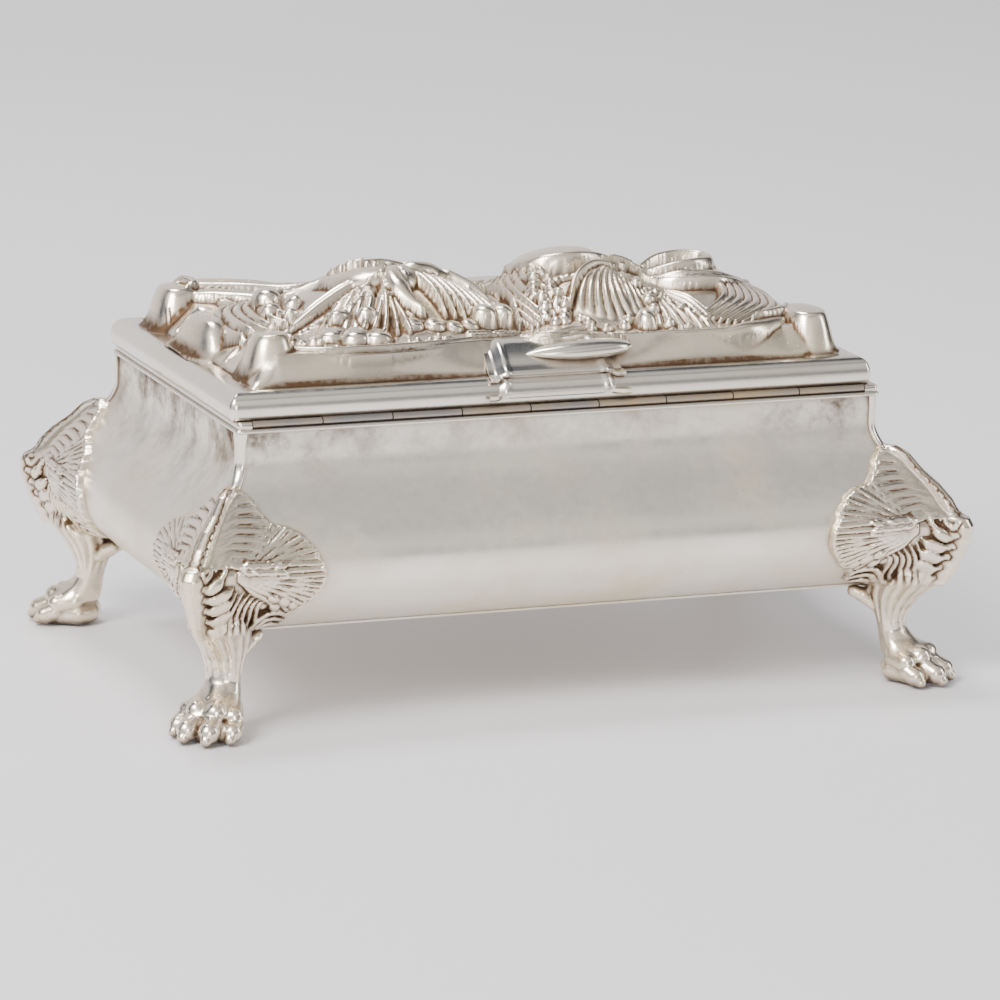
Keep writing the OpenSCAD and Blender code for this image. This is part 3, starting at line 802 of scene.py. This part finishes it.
def rightEnd(r):
    r.boss((85, 1), (8.5, 15), 106, crown=0.25)
    r.boss((84, 38), (10.5, 13), 109, crown=0.3)
    r.boss((84.5, -38.5), (9.2, 13.5), 109.0, turn=3, crown=0.55, soft=0.8)
    for k in range(5):
        r.ribbon([(66 + k * 2.2, -43 + k * 0.8), (73 + k * 1.6, -40 + k), (79 + k, -35 + k * 1.2)], 1.9, 1.6,
                 lift=2.6, ends=(0.2, 0.7), soft=0.15)
    for k in range(5):
        r.ribbon([(70 + k * 3, -26), (76 + k * 3, -14), (73 + k * 3, 2), (64 + k * 3, 16)], 2.7, 1.6,
                 soft=0.12)


def apron():
    inner = [(-43.0, 104.6), (-45.5, 103.9), (-48.0, 102.6), (-50.5, 100.9), (-53.0, 98.9), (-55.4, 97.2)]
    outer = [(-(lidHalf[1] + out) - 0.5, z + 0.35) for out, z in lidMoulding[4:9]][::-1]
    line = curve(inner + outer, 5)
    xs = np.concatenate([np.linspace(-20, -12, 25), np.linspace(-11, 11, 23), np.linspace(12, 20, 25)])
    mask = smoothStep(-18.5, -15.5, xs) * (1 - smoothStep(14.5, 18.5, xs))
    roll = 0.35 * np.exp(-((xs + 15.0) / 0.9) ** 2) + 0.4 * np.exp(-((xs - 14.0) / 1.1) ** 2)
    across = np.gradient(line, axis=0)
    normal = np.stack([across[:, 1], -across[:, 0]], 1) / np.hypot(*across.T)[:, None]
    normal *= np.where(normal[:, 1:] < 0, -1, 1)
    lift = (1.7 * mask - 1.5 + roll)[None, :, None]
    place = line[:, None, :] + normal[:, None, :] * lift
    flare = xs[None, :] * (1 + 0.10 * np.linspace(-0.4, 1, len(line))[:, None])
    verts = np.stack([-flare + lidShift[0], -place[..., 0] + lidShift[1], place[..., 1]], -1)
    thin = verts - np.array([0, 0.5, 0.5])
    rows, cols = len(line), len(xs)
    faces = gridFaces(rows, cols, flip=True).tolist()
    n = rows * cols
    faces += [[n + k for k in f][::-1] for f in faces]
    edge = [c for c in range(cols)] + [r * cols + cols - 1 for r in range(1, rows)]
    edge += [(rows - 1) * cols + c for c in range(cols - 2, -1, -1)]
    edge += [r * cols for r in range(rows - 2, 0, -1)]
    faces += [[edge[k], edge[k - 1], n + edge[k - 1], n + edge[k]] for k in range(len(edge))]
    newPiece("lipApron", np.vstack([verts.reshape(-1, 3), thin.reshape(-1, 3)]), faces, "lid", edgeSilver)


def lipRoll():
    s = {"at": (8.4, -49.8, 102.0), "half": 16.5, "deep": 4.8, "high": 2.9}
    t = np.sin(np.linspace(-math.pi / 2, math.pi / 2, 41))[1:-1]
    thick = np.where(t < 0, (1 - np.abs(t) ** 1.7) ** 0.75, (1 - np.abs(t) ** 2.8) ** 0.5)
    a = np.linspace(0, 2 * math.pi, 33)[:-1]
    rings = np.stack([(s["at"][0] + t * s["half"])[:, None] + 0 * a[None],
                      s["at"][1] + thick[:, None] * s["deep"] * np.cos(a)[None],
                      s["at"][2] + 0.5 * t[:, None] + thick[:, None] * s["high"] * np.sin(a)[None]],
                     -1).reshape(-1, 3)
    ends = np.array([(s["at"][0] + k * s["half"], s["at"][1], s["at"][2] + 0.5 * k) for k in (-1, 1)])
    verts = np.vstack([rings, ends]) * (-1, -1, 1) + (*lidShift, 0)
    n, last = len(a), (len(t) - 1) * len(a)
    faces = gridFaces(len(t), n, wrapCols=True).tolist()
    faces += [(len(rings), (k + 1) % n, k) for k in range(n)]
    faces += [(len(rings) + 1, last + k, last + (k + 1) % n) for k in range(n)]
    newPiece("lipRoll", verts, faces, "lid", edgeSilver, sharp=180)


farHalf(lid)
leftEnd(lid)
rightEnd(lid)
leftMound(lid)
rightMound(lid)
border(lid)
apron()
lipRoll()


def reliefPiece(r):
    x, y, h = r.x, r.y, r.h
    soft = blur(h, 8)
    steep = np.hypot(*np.gradient(soft, r.ys, r.xs))
    cavity = np.clip((soft - h - 0.02) * 3.2, 0, 1) * (1 - smoothStep(1.4, 3.0, steep) * 0.5)
    foot = blockSet["foot"] - 0.25
    h = np.where(inset(x, y) > 0.6, np.maximum(h, foot + 1.2), h)
    keep = (h > foot + 0.32) | (blur((h > foot + 0.32).astype(float), 2) > 0.02)
    h = np.where(h > foot + 0.3, h, foot)
    rows, cols = h.shape
    quads = gridFaces(rows, cols)
    used = keep.ravel()[quads].all(1)
    quads = quads[used]
    index = np.unique(quads)
    back = np.full(rows * cols, -1)
    back[index] = np.arange(len(index))
    quads = back[quads]
    top = np.stack([-x.ravel()[index] + lidShift[0], -y.ravel()[index] + lidShift[1], h.ravel()[index]], 1)
    newPiece("lidRelief", top, quads.tolist(), "lid", castSilver, ("lid_relief",), sharp=180,
             attrs={"cavity": cavity.ravel()[index]})


reliefPiece(lid)
print("lid relief done")


# the four cast legs
# u and v run outward from the rim's corner along x and y, and a leg is the same on both sides of u = v
legSet = {"step": 0.4, "embed": 0.8, "top": 72.0, "mapStep": 0.25}
frontLine = [(0, 25.2), (3.6, 26), (7.4, 24.9), (9.5, 20.5), (12.5, 14.5), (13.4, 12.2), (15.5, 10.9),
             (18.8, 10.4), (22.3, 12), (26, 15.2), (28.5, 21), (31, 23.2), (34.5, 25.6), (40.1, 28),
             (44.9, 29.8), (48.9, 30.2), (51.4, 28.8), (52.4, 26.3), (54, 24.8), (56.6, 23.2), (60.7, 19),
             (64.6, 13.6), (68.7, 9.4), (70.2, 6.0), (74, -4)]
wingLine = [(28, 3), (31, 12.0), (33.5, 12.6), (35, 13.5), (37.5, 17), (41.5, 20), (44, 21.3), (47, 21.8),
            (50.5, 20.5), (54.5, 18.8), (58, 16.2), (60.2, 12), (61.2, 7.5), (63.5, 5.2), (66, 4.2),
            (68.5, 2.2), (70.5, -1.5), (74, -12)]
limbLine = [  # height, front, back, half the width
    (8, 20, 3.8, 7.4), (10.5, 17, 3.3, 6.8), (13, 12.4, 2.9, 5.9), (15.5, 10.8, 2.4, 5.3),
    (18.8, 10.3, 1.6, 5.4), (22.3, 11.8, 0.2, 6.2), (26, 14.8, -2.0, 7.4), (29, 18.0, -3.0, 8.6),
    (31, 19.5, -1.0, 9.4), (34, 20, 3, 8.5), (38, 19, 8, 5),
]
pawParts = [  # how softly a part joins the paw, how softly it bends, and its points and radii
    (0, 0.8, [((7.0, 0, 3.9), 3.5), ((14.5, 0, 4.6), 4.9), ((17.5, 0, 3.6), 3.9)]),
    (2.0, 0.8, [((8.5, 4.0, 4.0), 3.4), ((14, 4.8, 4.0), 3.5), ((17.0, 5.6, 3.4), 3.1)]),
    (2.5, 0.8, [((8, 0, 12), 4.2), ((12.0, 0, 8.2), 5.2)]),
    (0.45, 0.8, [((11.5, 2.6, 9.0), 2.9), ((16.6, 2.9, 8.5), 3.2)]),
    (0.3, 0.3, [((19.0, 3.2, 5.4), 2.9), ((21.8, 3.4, 3.9), 3.1), ((24.0, 3.6, 2.2), 1.7)]),
    (0.5, 0.8, [((9.5, 5.0, 7.8), 2.8), ((13.8, 7.2, 7.2), 2.9)]),
    (0.3, 0.3, [((14.8, 7.9, 4.8), 2.7), ((17.2, 8.4, 3.6), 2.8), ((19.2, 8.8, 2.1), 1.6)]),
]


def legSurface(e, z):
    front = np.interp(z, *zip(*frontLine)) / math.sqrt(2)
    panel = swell(np.maximum(z, bodyFoot))
    ridge = np.maximum(front - panel - 2.0 - 0.8 * smoothStep(52, 56, z), 0.5)
    tip = np.interp(z, *zip(*wingLine))
    s = np.clip((e + front) / np.maximum(tip + front, 1.0), 0, 1.3)
    return 0.7 + (ridge - 0.7) * (1 - smoothStep(0, 1.0, s) * 0.35 - 0.65 * np.clip(s, 0, 1) ** 0.8)


def legRelief():
    step = legSet["mapStep"]
    r = Relief(np.arange(-26, 26.01, step), np.arange(26, 73.01, step), legSurface)
    for k, (x, z) in enumerate(((7.5, 61.6), (12.5, 60.2), (16.0, 57.6), (19.0, 54.4), (20.4, 50.6),
                                (21.6, 47.2), (20.6, 43.8), (18.6, 41.0), (15.8, 38.2), (12.4, 36.2))):
        mx, mz = (x - 5) * 0.5, 48.5 + (z - 48.5) * 0.42 + (1.5 if z > 50 else -0.5)
        r.ribbon([(-5, 48.3 + (z - 48) * 0.1), (mx, mz), (x - 0.8, z)], 5.2, 1.5, ends=(0.15, 0.95),
                 flutes=3, depth=0.8, flat=3, soft=0.1, lift=0.1)
        r.ribbon([(x - 2.6, z + 1.2), (x - 0.4, z + 1.5), (x + 0.4, z - 0.4), (x - 1.2, z - 1.2)], 1.1, 0.8,
                 lift=0.7, soft=0.1, ends=(0.6, 0.6))
    for k, (z0, x, z) in enumerate(((66.8, 1.8, 69.0), (65.0, 4.2, 66.8), (63.0, 5.2, 64.4),
                                    (61.0, 5.8, 61.9), (59.0, 5.2, 59.4), (57.0, 3.8, 57.2),
                                    (55.2, 2.0, 55.2), (53.6, -0.6, 53.4), (52.6, -3.6, 51.6))):
        x0 = -np.interp(z0, *zip(*frontLine)) / math.sqrt(2) + 1.6
        r.ribbon([(x0, z0 - 1.6), ((x0 + x) / 2, (z0 + z) / 2 + 0.9), (x, z)], 3.0, 1.5, ends=(0.5, 0.95),
                 flat=2.6, soft=0.12, lift=0.55 - 0.02 * k)
        r.groove([((x0 + x) / 2 - 1.5, (z0 + z) / 2 + 0.2), (x - 0.6, z - 0.2)], 0.35, 0.45)
    r.ribbon([(-4, 50.6), (2, 50.3), (7, 49.9), (11, 50.0)], 2.6, 0.7, lift=0.5, ends=(0.5, 0.3))
    r.grains([(-3, 50.6), (3, 50.3), (10, 49.9)], 12, 1.8)
    for x, z, wide in ((-16.2, 47.2, 6.5), (-15.6, 43.8, 9), (-15.0, 40.4, 9), (-13.5, 36.8, 7.5),
                       (-12.5, 33.4, 5)):
        r.ribbon([(x, z - 1.0), (x + wide * 0.4, z - 1.4), (x + wide * 0.8, z + 0.2), (x + wide, z + 1.6)],
                 3.6, 1.5, ends=(0.4, 0.2), lift=0.6, flat=3, soft=0.12, edge=0.3)
    r.ribbon([(-17.0, 51.0), (-15.4, 48.6), (-13.4, 50.6), (-14.6, 52.2), (-15.6, 51.0)], 1.6, 0.9,
             lift=0.6, ends=(0.6, 0.6))
    r.ribbon([(-12.8, 48.0), (-10.4, 48.8), (-9.0, 51), (-10.8, 52.4), (-12, 50.8)], 1.6, 0.9, lift=0.6,
             ends=(0.6, 0.6))
    r.lump((-9.0, 53.4), (3.4, 1.8), 1.2, turn=25, lift=1.0, on=False)
    r.lump((-5.4, 52.8), (2.8, 1.5), 1.0, turn=10, lift=0.9, on=False)
    for k in range(7):
        x = -10 + k * 1.9
        r.ribbon([(x + 3.0, 45.0 - k * 0.7), (x + 0.6, 39), (x - 0.8 + k * 0.3, 33.5),
                  (x - 0.8 + k * 0.3, 28)], 1.5, 1.1, ends=(0.3, 0.7), lift=0.35, soft=0.1)
    for k in range(3):
        drop = 2.1 * k
        r.ribbon([(0.8 + k * 1.7, 26.5), (2.0 + k * 1.4, 31.5 - k), (5.8 + k * 0.7, 35.6 - drop),
                  (10.5, 35.0 - drop), (13, 32.4 - drop * 0.5)], 1.9, 1.5, ends=(0.7, 0.4),
                 lift=0.9 - 0.15 * k, soft=0.1)
    r.settle()
    for x, z, s in ((6, 41.0, 1.3), (9.5, 39.4, 1.5), (12.6, 37.8, 1.2), (3.5, 38.6, 1.2), (7, 38.0, 1.2)):
        r.lump((x, z), (s * 1.5, s), s * 0.8, turn=-30)
    for points in (((3, 69), (5.6, 67.4), (5, 65.4)), ((0.5, 70.6), (3.4, 70.6), (4.4, 68.6)),
                   ((-3, 66), (-1, 68), (1, 67))):
        r.ribbon(points, 1.3, 0.8, lift=0.8)
    tip = np.interp(r.y, *zip(*wingLine))
    scallop = 0.6 * np.abs(np.sin(r.y * 0.75 + r.x * 0.25)) - 0.1
    edge = tip + scallop - r.x
    r.h = np.where(edge > 0, r.h + 0.3 * np.exp(-((edge - 0.6) / 0.5) ** 2), r.h - 7 * np.minimum(-edge, 1.2))
    return r


def capsuleChain(p, points, k=0.8):
    total = None
    for (a, ra), (b, rb) in zip(points[:-1], points[1:]):
        a, b = np.array(a, float), np.array(b, float)
        d = b - a
        t = sum((p[i] - a[i]) * d[i] for i in range(3)) / (d @ d)
        t = np.clip(t, 0, 1)
        dist = np.sqrt(sum((p[i] - a[i] - t * d[i]) ** 2 for i in range(3))) - (ra + (rb - ra) * t)
        total = dist if total is None else smoothMin(total, dist, k)
    return total


def legField():
    s = legSet["step"]
    vs = np.arange(-25.5, 25.5, s).astype(np.float32)
    first = int(np.searchsorted(vs, -9))
    zs = np.arange(-0.9, legSet["top"], s).astype(np.float32)
    u, v, z = vs[first:, None, None], vs[None, :, None], zs[None, None, :]
    r, w = (u + v) / math.sqrt(2), np.abs(u - v) / math.sqrt(2)
    height = u - swell(np.maximum(zs, bodyFoot)).astype(np.float32)[None, None, :]
    relief = legRelief()
    column = np.clip(((-vs - relief.xs[0]) / legSet["mapStep"]), 0, len(relief.xs) - 2)
    row = np.clip((zs - relief.ys[0]) / legSet["mapStep"], 0, len(relief.ys) - 2)
    i, j = column.astype(int)[:, None], row.astype(int)[None, :]
    fi, fj = column[:, None] - i, row[None, :] - j
    t = ((relief.h[j, i] * (1 - fi) + relief.h[j, i + 1] * fi) * (1 - fj)
         + (relief.h[j + 1, i] * (1 - fi) + relief.h[j + 1, i + 1] * fi) * fj).astype(np.float32)
    wing = (height - t[None]) * 0.7
    wing = np.maximum(wing, 29.5 - z)
    front = np.interp(zs, *zip(*frontLine)).astype(np.float32)
    wide = np.interp(zs, [31, 36, 42, 47, 50.2, 51.6, 52.4, 54, 60, 67, 69.5, 70.6],
                     [1.0, 1.9, 2.9, 3.5, 3.6, 3.4, 2.7, 2.6, 2.1, 1.6, 1.8, 1.3]).astype(np.float32)
    round3 = 0.85 * wide
    across, outer = np.maximum(w - wide + round3, 0), np.maximum(r - front + 1.3 * round3, 0)
    within = np.minimum(np.maximum(w - wide, r - front) + round3, 0)
    band = np.sqrt(across ** 2 + (outer / 1.3) ** 2) - round3 + within
    band = np.maximum(np.maximum(band, front - 8 - r), np.maximum(30 - z, z - 70.6))
    lf, lb, lw = (np.interp(zs, [q[0] for q in limbLine], [q[n] for q in limbLine]).astype(np.float32)
                  for n in (1, 2, 3))
    mid, half = (lf + lb) / 2, (lf - lb) / 2
    around = np.arctan2(w / lw, (r - mid) / half)
    power = np.interp(zs, [18, 30, 40], [2.0, 1.45, 1.3]).astype(np.float32)
    limb = ((np.abs((r - mid) / half) ** power + (w / lw) ** power) ** (1 / power) - 1) * np.minimum(half, lw)
    ribs = 0.3 * np.cos(around * 15 + 0.8 * np.sin(z * 0.25)) * smoothStep(15, 22, z)
    limb = np.maximum(limb - ribs, np.maximum(8 - z, z - 37))
    p = (r, w, z)
    paw = capsuleChain(p, pawParts[0][2])
    for join, bend, chain in pawParts[1:]:
        paw = smoothMin(paw, capsuleChain(p, chain, bend), join)
    curl = capsuleChain(p, [((1.5, 3.4, 22.5), 1.6), ((-1.6, 4.4, 25.4), 2.1), ((-4.2, 5.4, 26.6), 1.9)], 0.5)
    field = smoothMin(wing, band, 0.5)
    field = smoothMin(field, limb, 1.2)
    field = smoothMin(field, curl, 0.8)
    field = smoothMin(field, paw, 1.6)
    inside = np.where(z > bodyFoot - 0.1, -(height + legSet["embed"]), -99)
    field = np.maximum(field, inside)
    field = np.maximum(field, 0.05 - z).astype(np.float32)
    n = len(vs)
    full = np.full((n, n, len(zs)), 5.0, np.float32)
    full[first:] = field
    lower = np.triu_indices(n, 1)
    full[lower] = full[lower[1], lower[0]]
    return full, vs, zs, relief


def blurField(f, times):
    for _ in range(times):
        for axis in range(3):
            f = (np.roll(f, 1, axis) + 2 * f + np.roll(f, -1, axis)) / 4
    return f


def surfaceNet(f, xs, ys, zs):
    inside = f < 0
    nx, ny, nz = f.shape
    count = np.zeros((nx - 1, ny - 1, nz - 1), np.int8)
    corners = [(a, b, c) for a in (0, 1) for b in (0, 1) for c in (0, 1)]
    for a, b, c in corners:
        count += inside[a:nx - 1 + a, b:ny - 1 + b, c:nz - 1 + c]
    cells = np.argwhere((count > 0) & (count < 8))
    index = np.full(count.shape, -1, np.int64)
    index[tuple(cells.T)] = np.arange(len(cells))
    total = np.zeros((len(cells), 3))
    hits = np.zeros(len(cells))
    values = {q: f[tuple((cells + q).T)] for q in corners}
    for q in corners:
        for axis in range(3):
            if q[axis]:
                continue
            q2 = tuple(1 if k == axis else q[k] for k in range(3))
            a, b = values[q], values[q2]
            cross = (a < 0) != (b < 0)
            t = np.where(cross, a / np.where(cross, a - b, 1), 0)
            place = np.array(q, float)[None].repeat(len(cells), 0)
            place[:, axis] += t
            total += place * cross[:, None]
            hits += cross
    local = cells + total / hits[:, None]
    verts = np.stack([np.interp(local[:, k], np.arange(len(g)), g) for k, g in enumerate((xs, ys, zs))], 1)
    quads = []
    for axis in range(3):
        o1, o2 = [k for k in range(3) if k != axis]
        low = np.moveaxis(inside, axis, 0)[:-1]
        high = np.moveaxis(inside, axis, 0)[1:]
        where = np.argwhere(low != high)
        rising = low[tuple(where.T)]
        grid = np.zeros_like(where)
        grid[:, axis] = where[:, 0]
        grid[:, o1], grid[:, o2] = where[:, 1], where[:, 2]
        ok = (grid[:, o1] > 0) & (grid[:, o2] > 0) & (grid[:, o1] < f.shape[o1]
                                                      - 1) & (grid[:, o2] < f.shape[o2] - 1)
        grid, rising = grid[ok], rising[ok]
        around = []
        for d1, d2 in ((-1, -1), (0, -1), (0, 0), (-1, 0)):
            g = grid.copy()
            g[:, o1] += d1
            g[:, o2] += d2
            around.append(index[tuple(g.T)])
        q = np.stack(around, 1)
        turn = rising if axis != 1 else ~rising
        quads.append(np.where(turn[:, None], q, q[:, ::-1]))
    quads = np.concatenate(quads)
    return verts, quads[(quads >= 0).all(1)]


def smoothed(verts, quads, rounds):
    a = quads.ravel()
    b = np.roll(quads, -1, 1).ravel()
    pairs = np.unique(np.sort(np.stack([a, b], 1), 1), axis=0)
    near = np.zeros(len(verts))
    np.add.at(near, pairs[:, 0], 1)
    np.add.at(near, pairs[:, 1], 1)
    for k in range(rounds):
        for step in (0.55, -0.5):
            total = np.zeros_like(verts)
            for axis in range(3):
                total[:, axis] = (np.bincount(pairs[:, 0], verts[pairs[:, 1], axis], len(verts))
                                  + np.bincount(pairs[:, 1], verts[pairs[:, 0], axis], len(verts)))
            verts = verts + step * (total / np.maximum(near, 1)[:, None] - verts)
    return verts


def fieldAt(f, verts, axes):
    place = np.stack([np.interp(verts[:, k], g, np.arange(len(g))) for k, g in enumerate(axes)], 1)
    low = np.minimum(place.astype(int), np.array(f.shape) - 2)
    part = place - low
    total = np.zeros(len(verts))
    for a, b, c in [(a, b, c) for a in (0, 1) for b in (0, 1) for c in (0, 1)]:
        weight = np.prod(np.where((a, b, c), part, 1 - part), 1)
        total += weight * f[tuple((low + (a, b, c)).T)]
    return total


def evened(values, quads, rounds):
    uses = np.maximum(np.bincount(quads.ravel(), minlength=len(values)), 1)
    for _ in range(rounds):
        faceMean = values[quads].mean(1)
        values = np.bincount(quads.ravel(), np.repeat(faceMean, 4), len(values)) / uses
    return values


def legPieces():
    full, vs, zs, relief = legField()
    verts, quads = surfaceNet(full, vs, vs, zs)
    hollow = blurField(np.clip(full, -1.6, 1.6), 6)
    cavity = np.clip(evened(-fieldAt(hollow, verts, (vs, vs, zs)), quads, 3) * 3.8 + 0.02, 0, 1)
    valley = np.clip((blur(relief.h, 12) - relief.h) * 4.0, 0, 0.95)
    step = legSet["mapStep"]
    column = np.clip((-verts[:, :2].min(1) - relief.xs[0]) / step, 0, len(relief.xs) - 1).astype(int)
    row = np.clip((verts[:, 2] - relief.ys[0]) / step, 0, len(relief.ys) - 1).astype(int)
    cavity = np.maximum(cavity, valley[row, column] * smoothStep(29, 33, verts[:, 2]))
    verts = smoothed(verts, quads, 3)
    print("leg faces", len(quads))
    for name, node, sx, sy in (("backLeftPaw", "back_left_leg", -1, 1),
                               ("backRightPaw", "back_right_leg", 1, 1),
                               ("frontLeftPaw", "front_left_leg", -1, -1),
                               ("frontRightPaw", "front_right_leg", 1, -1)):
        placed = np.stack([sx * (halfX + verts[:, 0]), sy * (halfY + verts[:, 1]), verts[:, 2]], 1)
        faces = quads if sx * sy > 0 else quads[:, ::-1]
        newPiece(name, placed, faces.tolist(), "box", castSilver, (node,), sharp=180,
                 attrs={"cavity": cavity})


legPieces()
print("legs done")


# velvet lining and pads, in the room that their solids hold
padSet = {"rows": 90, "columns": 150, "crown": 0.35, "creases": 0.22}


def softPad(name, node, body, axis, face):
    low, high = (np.array(v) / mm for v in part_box(node))
    others = [k for k in range(3) if k != axis]
    u = np.sin(np.linspace(-math.pi / 2, math.pi / 2, padSet["columns"]))
    v = np.sin(np.linspace(-math.pi / 2, math.pi / 2, padSet["rows"]))
    gu, gv = np.meshgrid(u, v)
    thick = high[axis] - low[axis]
    swellUp = (np.maximum(1 - np.abs(gu) ** 26, 0) * np.maximum(1 - np.abs(gv) ** 16, 0)) ** 0.5
    crown = 1 - padSet["crown"] * (0.5 * gu ** 2 + 0.5 * gv ** 2)
    spanU, spanV = (high - low)[others[0]] / 2, (high - low)[others[1]] / 2
    wave = np.sin(gu * spanU * 0.5 + 1.7 * np.sin(gv * spanV * 0.11)) * np.abs(gv) ** 9
    wave = wave + np.sin(gv * spanV * 0.55 + 1.3 * np.sin(gu * spanU * 0.07)) * np.abs(gu) ** 9
    lift = thick * swellUp * crown + padSet["creases"] * wave * swellUp
    lift = np.clip(lift, 0, thick)
    top, under = [np.zeros((*gu.shape, 3)) for _ in range(2)]
    for sheet, height in ((top, lift), (under, np.zeros_like(lift))):
        sheet[..., others[0]] = (low + high)[others[0]] / 2 + gu * spanU
        sheet[..., others[1]] = (low + high)[others[1]] / 2 + gv * spanV
        sheet[..., axis] = low[axis] + height if face > 0 else high[axis] - height
    rows, cols = gu.shape
    straight = (face > 0) != (axis == 1)
    faces = np.vstack([gridFaces(rows, cols, flip=not straight),
                       gridFaces(rows, cols, flip=straight) + rows * cols])
    verts = np.vstack([top.reshape(-1, 3), under.reshape(-1, 3)])
    piece = newPiece(name, verts, faces.tolist(), body, velvet, (node,), sharp=180)


softPad("floorCushion", "floor_pad", "box", 2, 1)
softPad("lidCushion", "lid_pad", "lid", 2, -1)
softPad("backWallPad", "back_lining", "box", 1, -1)
softPad("frontWallPad", "front_lining", "box", 1, 1)
softPad("leftWallPad", "left_lining", "box", 0, 1)
softPad("rightWallPad", "right_lining", "box", 0, -1)
print("lining done")


# light and floor
def areaLight(name, place, aim, size, power, colour):
    data = bpy.data.lights.new(name, "AREA")
    data.shape = "RECTANGLE"
    data.size, data.size_y = size
    data.energy = power
    data.color = colour
    obj = bpy.data.objects.new(name, data)
    bpy.context.scene.collection.objects.link(obj)
    obj.location = place
    obj.rotation_euler = (Vector(aim) - Vector(place)).to_track_quat("-Z", "Y").to_euler()


lights = [  # name, place, aim, size, watts, colour
    ("keyLight", (1.25, 0.75, 1.35), (0, 0, 0.05), (0.8, 0.8), 46, (1.0, 0.985, 0.95)),
    ("overheadLight", (0.15, -0.5, 1.6), (0, 0, 0.05), (0.6, 0.5), 20, (1.0, 0.99, 0.98)),
    ("frontLight", (0.5, 2.3, 0.55), (0, 0, 0.06), (0.5, 0.5), 12, (1.0, 0.99, 0.97)),
    ("sideLight", (-1.5, 0.6, 0.6), (0, 0, 0.05), (0.25, 1.0), 7, (0.96, 0.98, 1.0)),
]


def studio():
    world = bpy.data.worlds.new("studio")
    bpy.context.scene.world = world
    world.use_nodes = True
    tree = world.node_tree
    tree.nodes.clear()
    out = tree.nodes.new("ShaderNodeOutputWorld")
    back = tree.nodes.new("ShaderNodeBackground")
    where = put(tree, "ShaderNodeTexCoord").outputs["Generated"]
    split = put(tree, "ShaderNodeSeparateXYZ", {"Vector": where})
    level = maths(tree, "ADD", maths(tree, "MULTIPLY", split.outputs["Z"], 0.5), 0.5)
    sky = ramp(tree, level, [(0.44, (0.82, 0.81, 0.81)), (0.53, (0.46, 0.46, 0.48)),
                             (0.59, (0.44, 0.44, 0.45)), (0.62, (0.26, 0.265, 0.28)),
                             (0.65, (0.85, 0.84, 0.82)), (0.80, (1.0, 0.98, 0.95)),
                             (0.87, (0.9, 0.89, 0.87)), (0.90, (0.3, 0.31, 0.34)),
                             (0.93, (0.8, 0.79, 0.78))])
    depth = ramp(tree, maths(tree, "ADD", maths(tree, "MULTIPLY", split.outputs["Y"], 0.5), 0.5),
                 [(0.2, (0.1, 0.12, 0.16)), (0.42, (0.14, 0.16, 0.2)), (0.52, (1, 1, 1))])
    sweep = ramp(tree, maths(tree, "ADD", maths(tree, "MULTIPLY", split.outputs["X"], 0.5), 0.5),
                 [(0.1, 0.5), (0.45, 0.85), (0.85, 1.5)])
    sky = mixColour(tree, 1.0, mixColour(tree, 1.0, sky, depth, "MULTIPLY"), sweep, "MULTIPLY")
    tree.links.new(sky, back.inputs["Color"])
    back.inputs["Strength"].default_value = 1.16
    tree.links.new(back.outputs[0], out.inputs[0])
    for light in lights:
        areaLight(*light)


sweepSet = {"near": 3.5, "bendAt": -1.2, "bend": 0.8, "top": 3.0, "half": 3.5,
            "colour": (0.78, 0.765, 0.79), "roughness": 0.42, "gloss": 0.3}


def backdrop(s=sweepSet):
    profile = [(s["near"], 0.0), (s["bendAt"], 0.0)]
    profile += [(s["bendAt"] - s["bend"] * math.sin(a), s["bend"] - s["bend"] * math.cos(a))
                for a in np.linspace(0.1, math.pi / 2, 16)]
    profile += [(s["bendAt"] - s["bend"], s["top"])]
    verts = [(x, y, z) for x in (-s["half"], s["half"]) for y, z in profile]
    n = len(profile)
    mesh = bpy.data.meshes.new("sweep")
    mesh.from_pydata(verts, [], [(k, n + k, n + k + 1, k + 1) for k in range(n - 1)])
    mesh.shade_smooth()
    material = bpy.data.materials.new("paper")
    tree, shader = newTree(material)
    shader.inputs["Base Color"].default_value = (*s["colour"], 1)
    shader.inputs["Roughness"].default_value = s["roughness"]
    shader.inputs["Specular IOR Level"].default_value = s["gloss"]
    mesh.materials.append(material)
    obj = bpy.data.objects.new("sweep", mesh)
    bpy.context.scene.collection.objects.link(obj)


studio()
backdrop()

print("scene done")
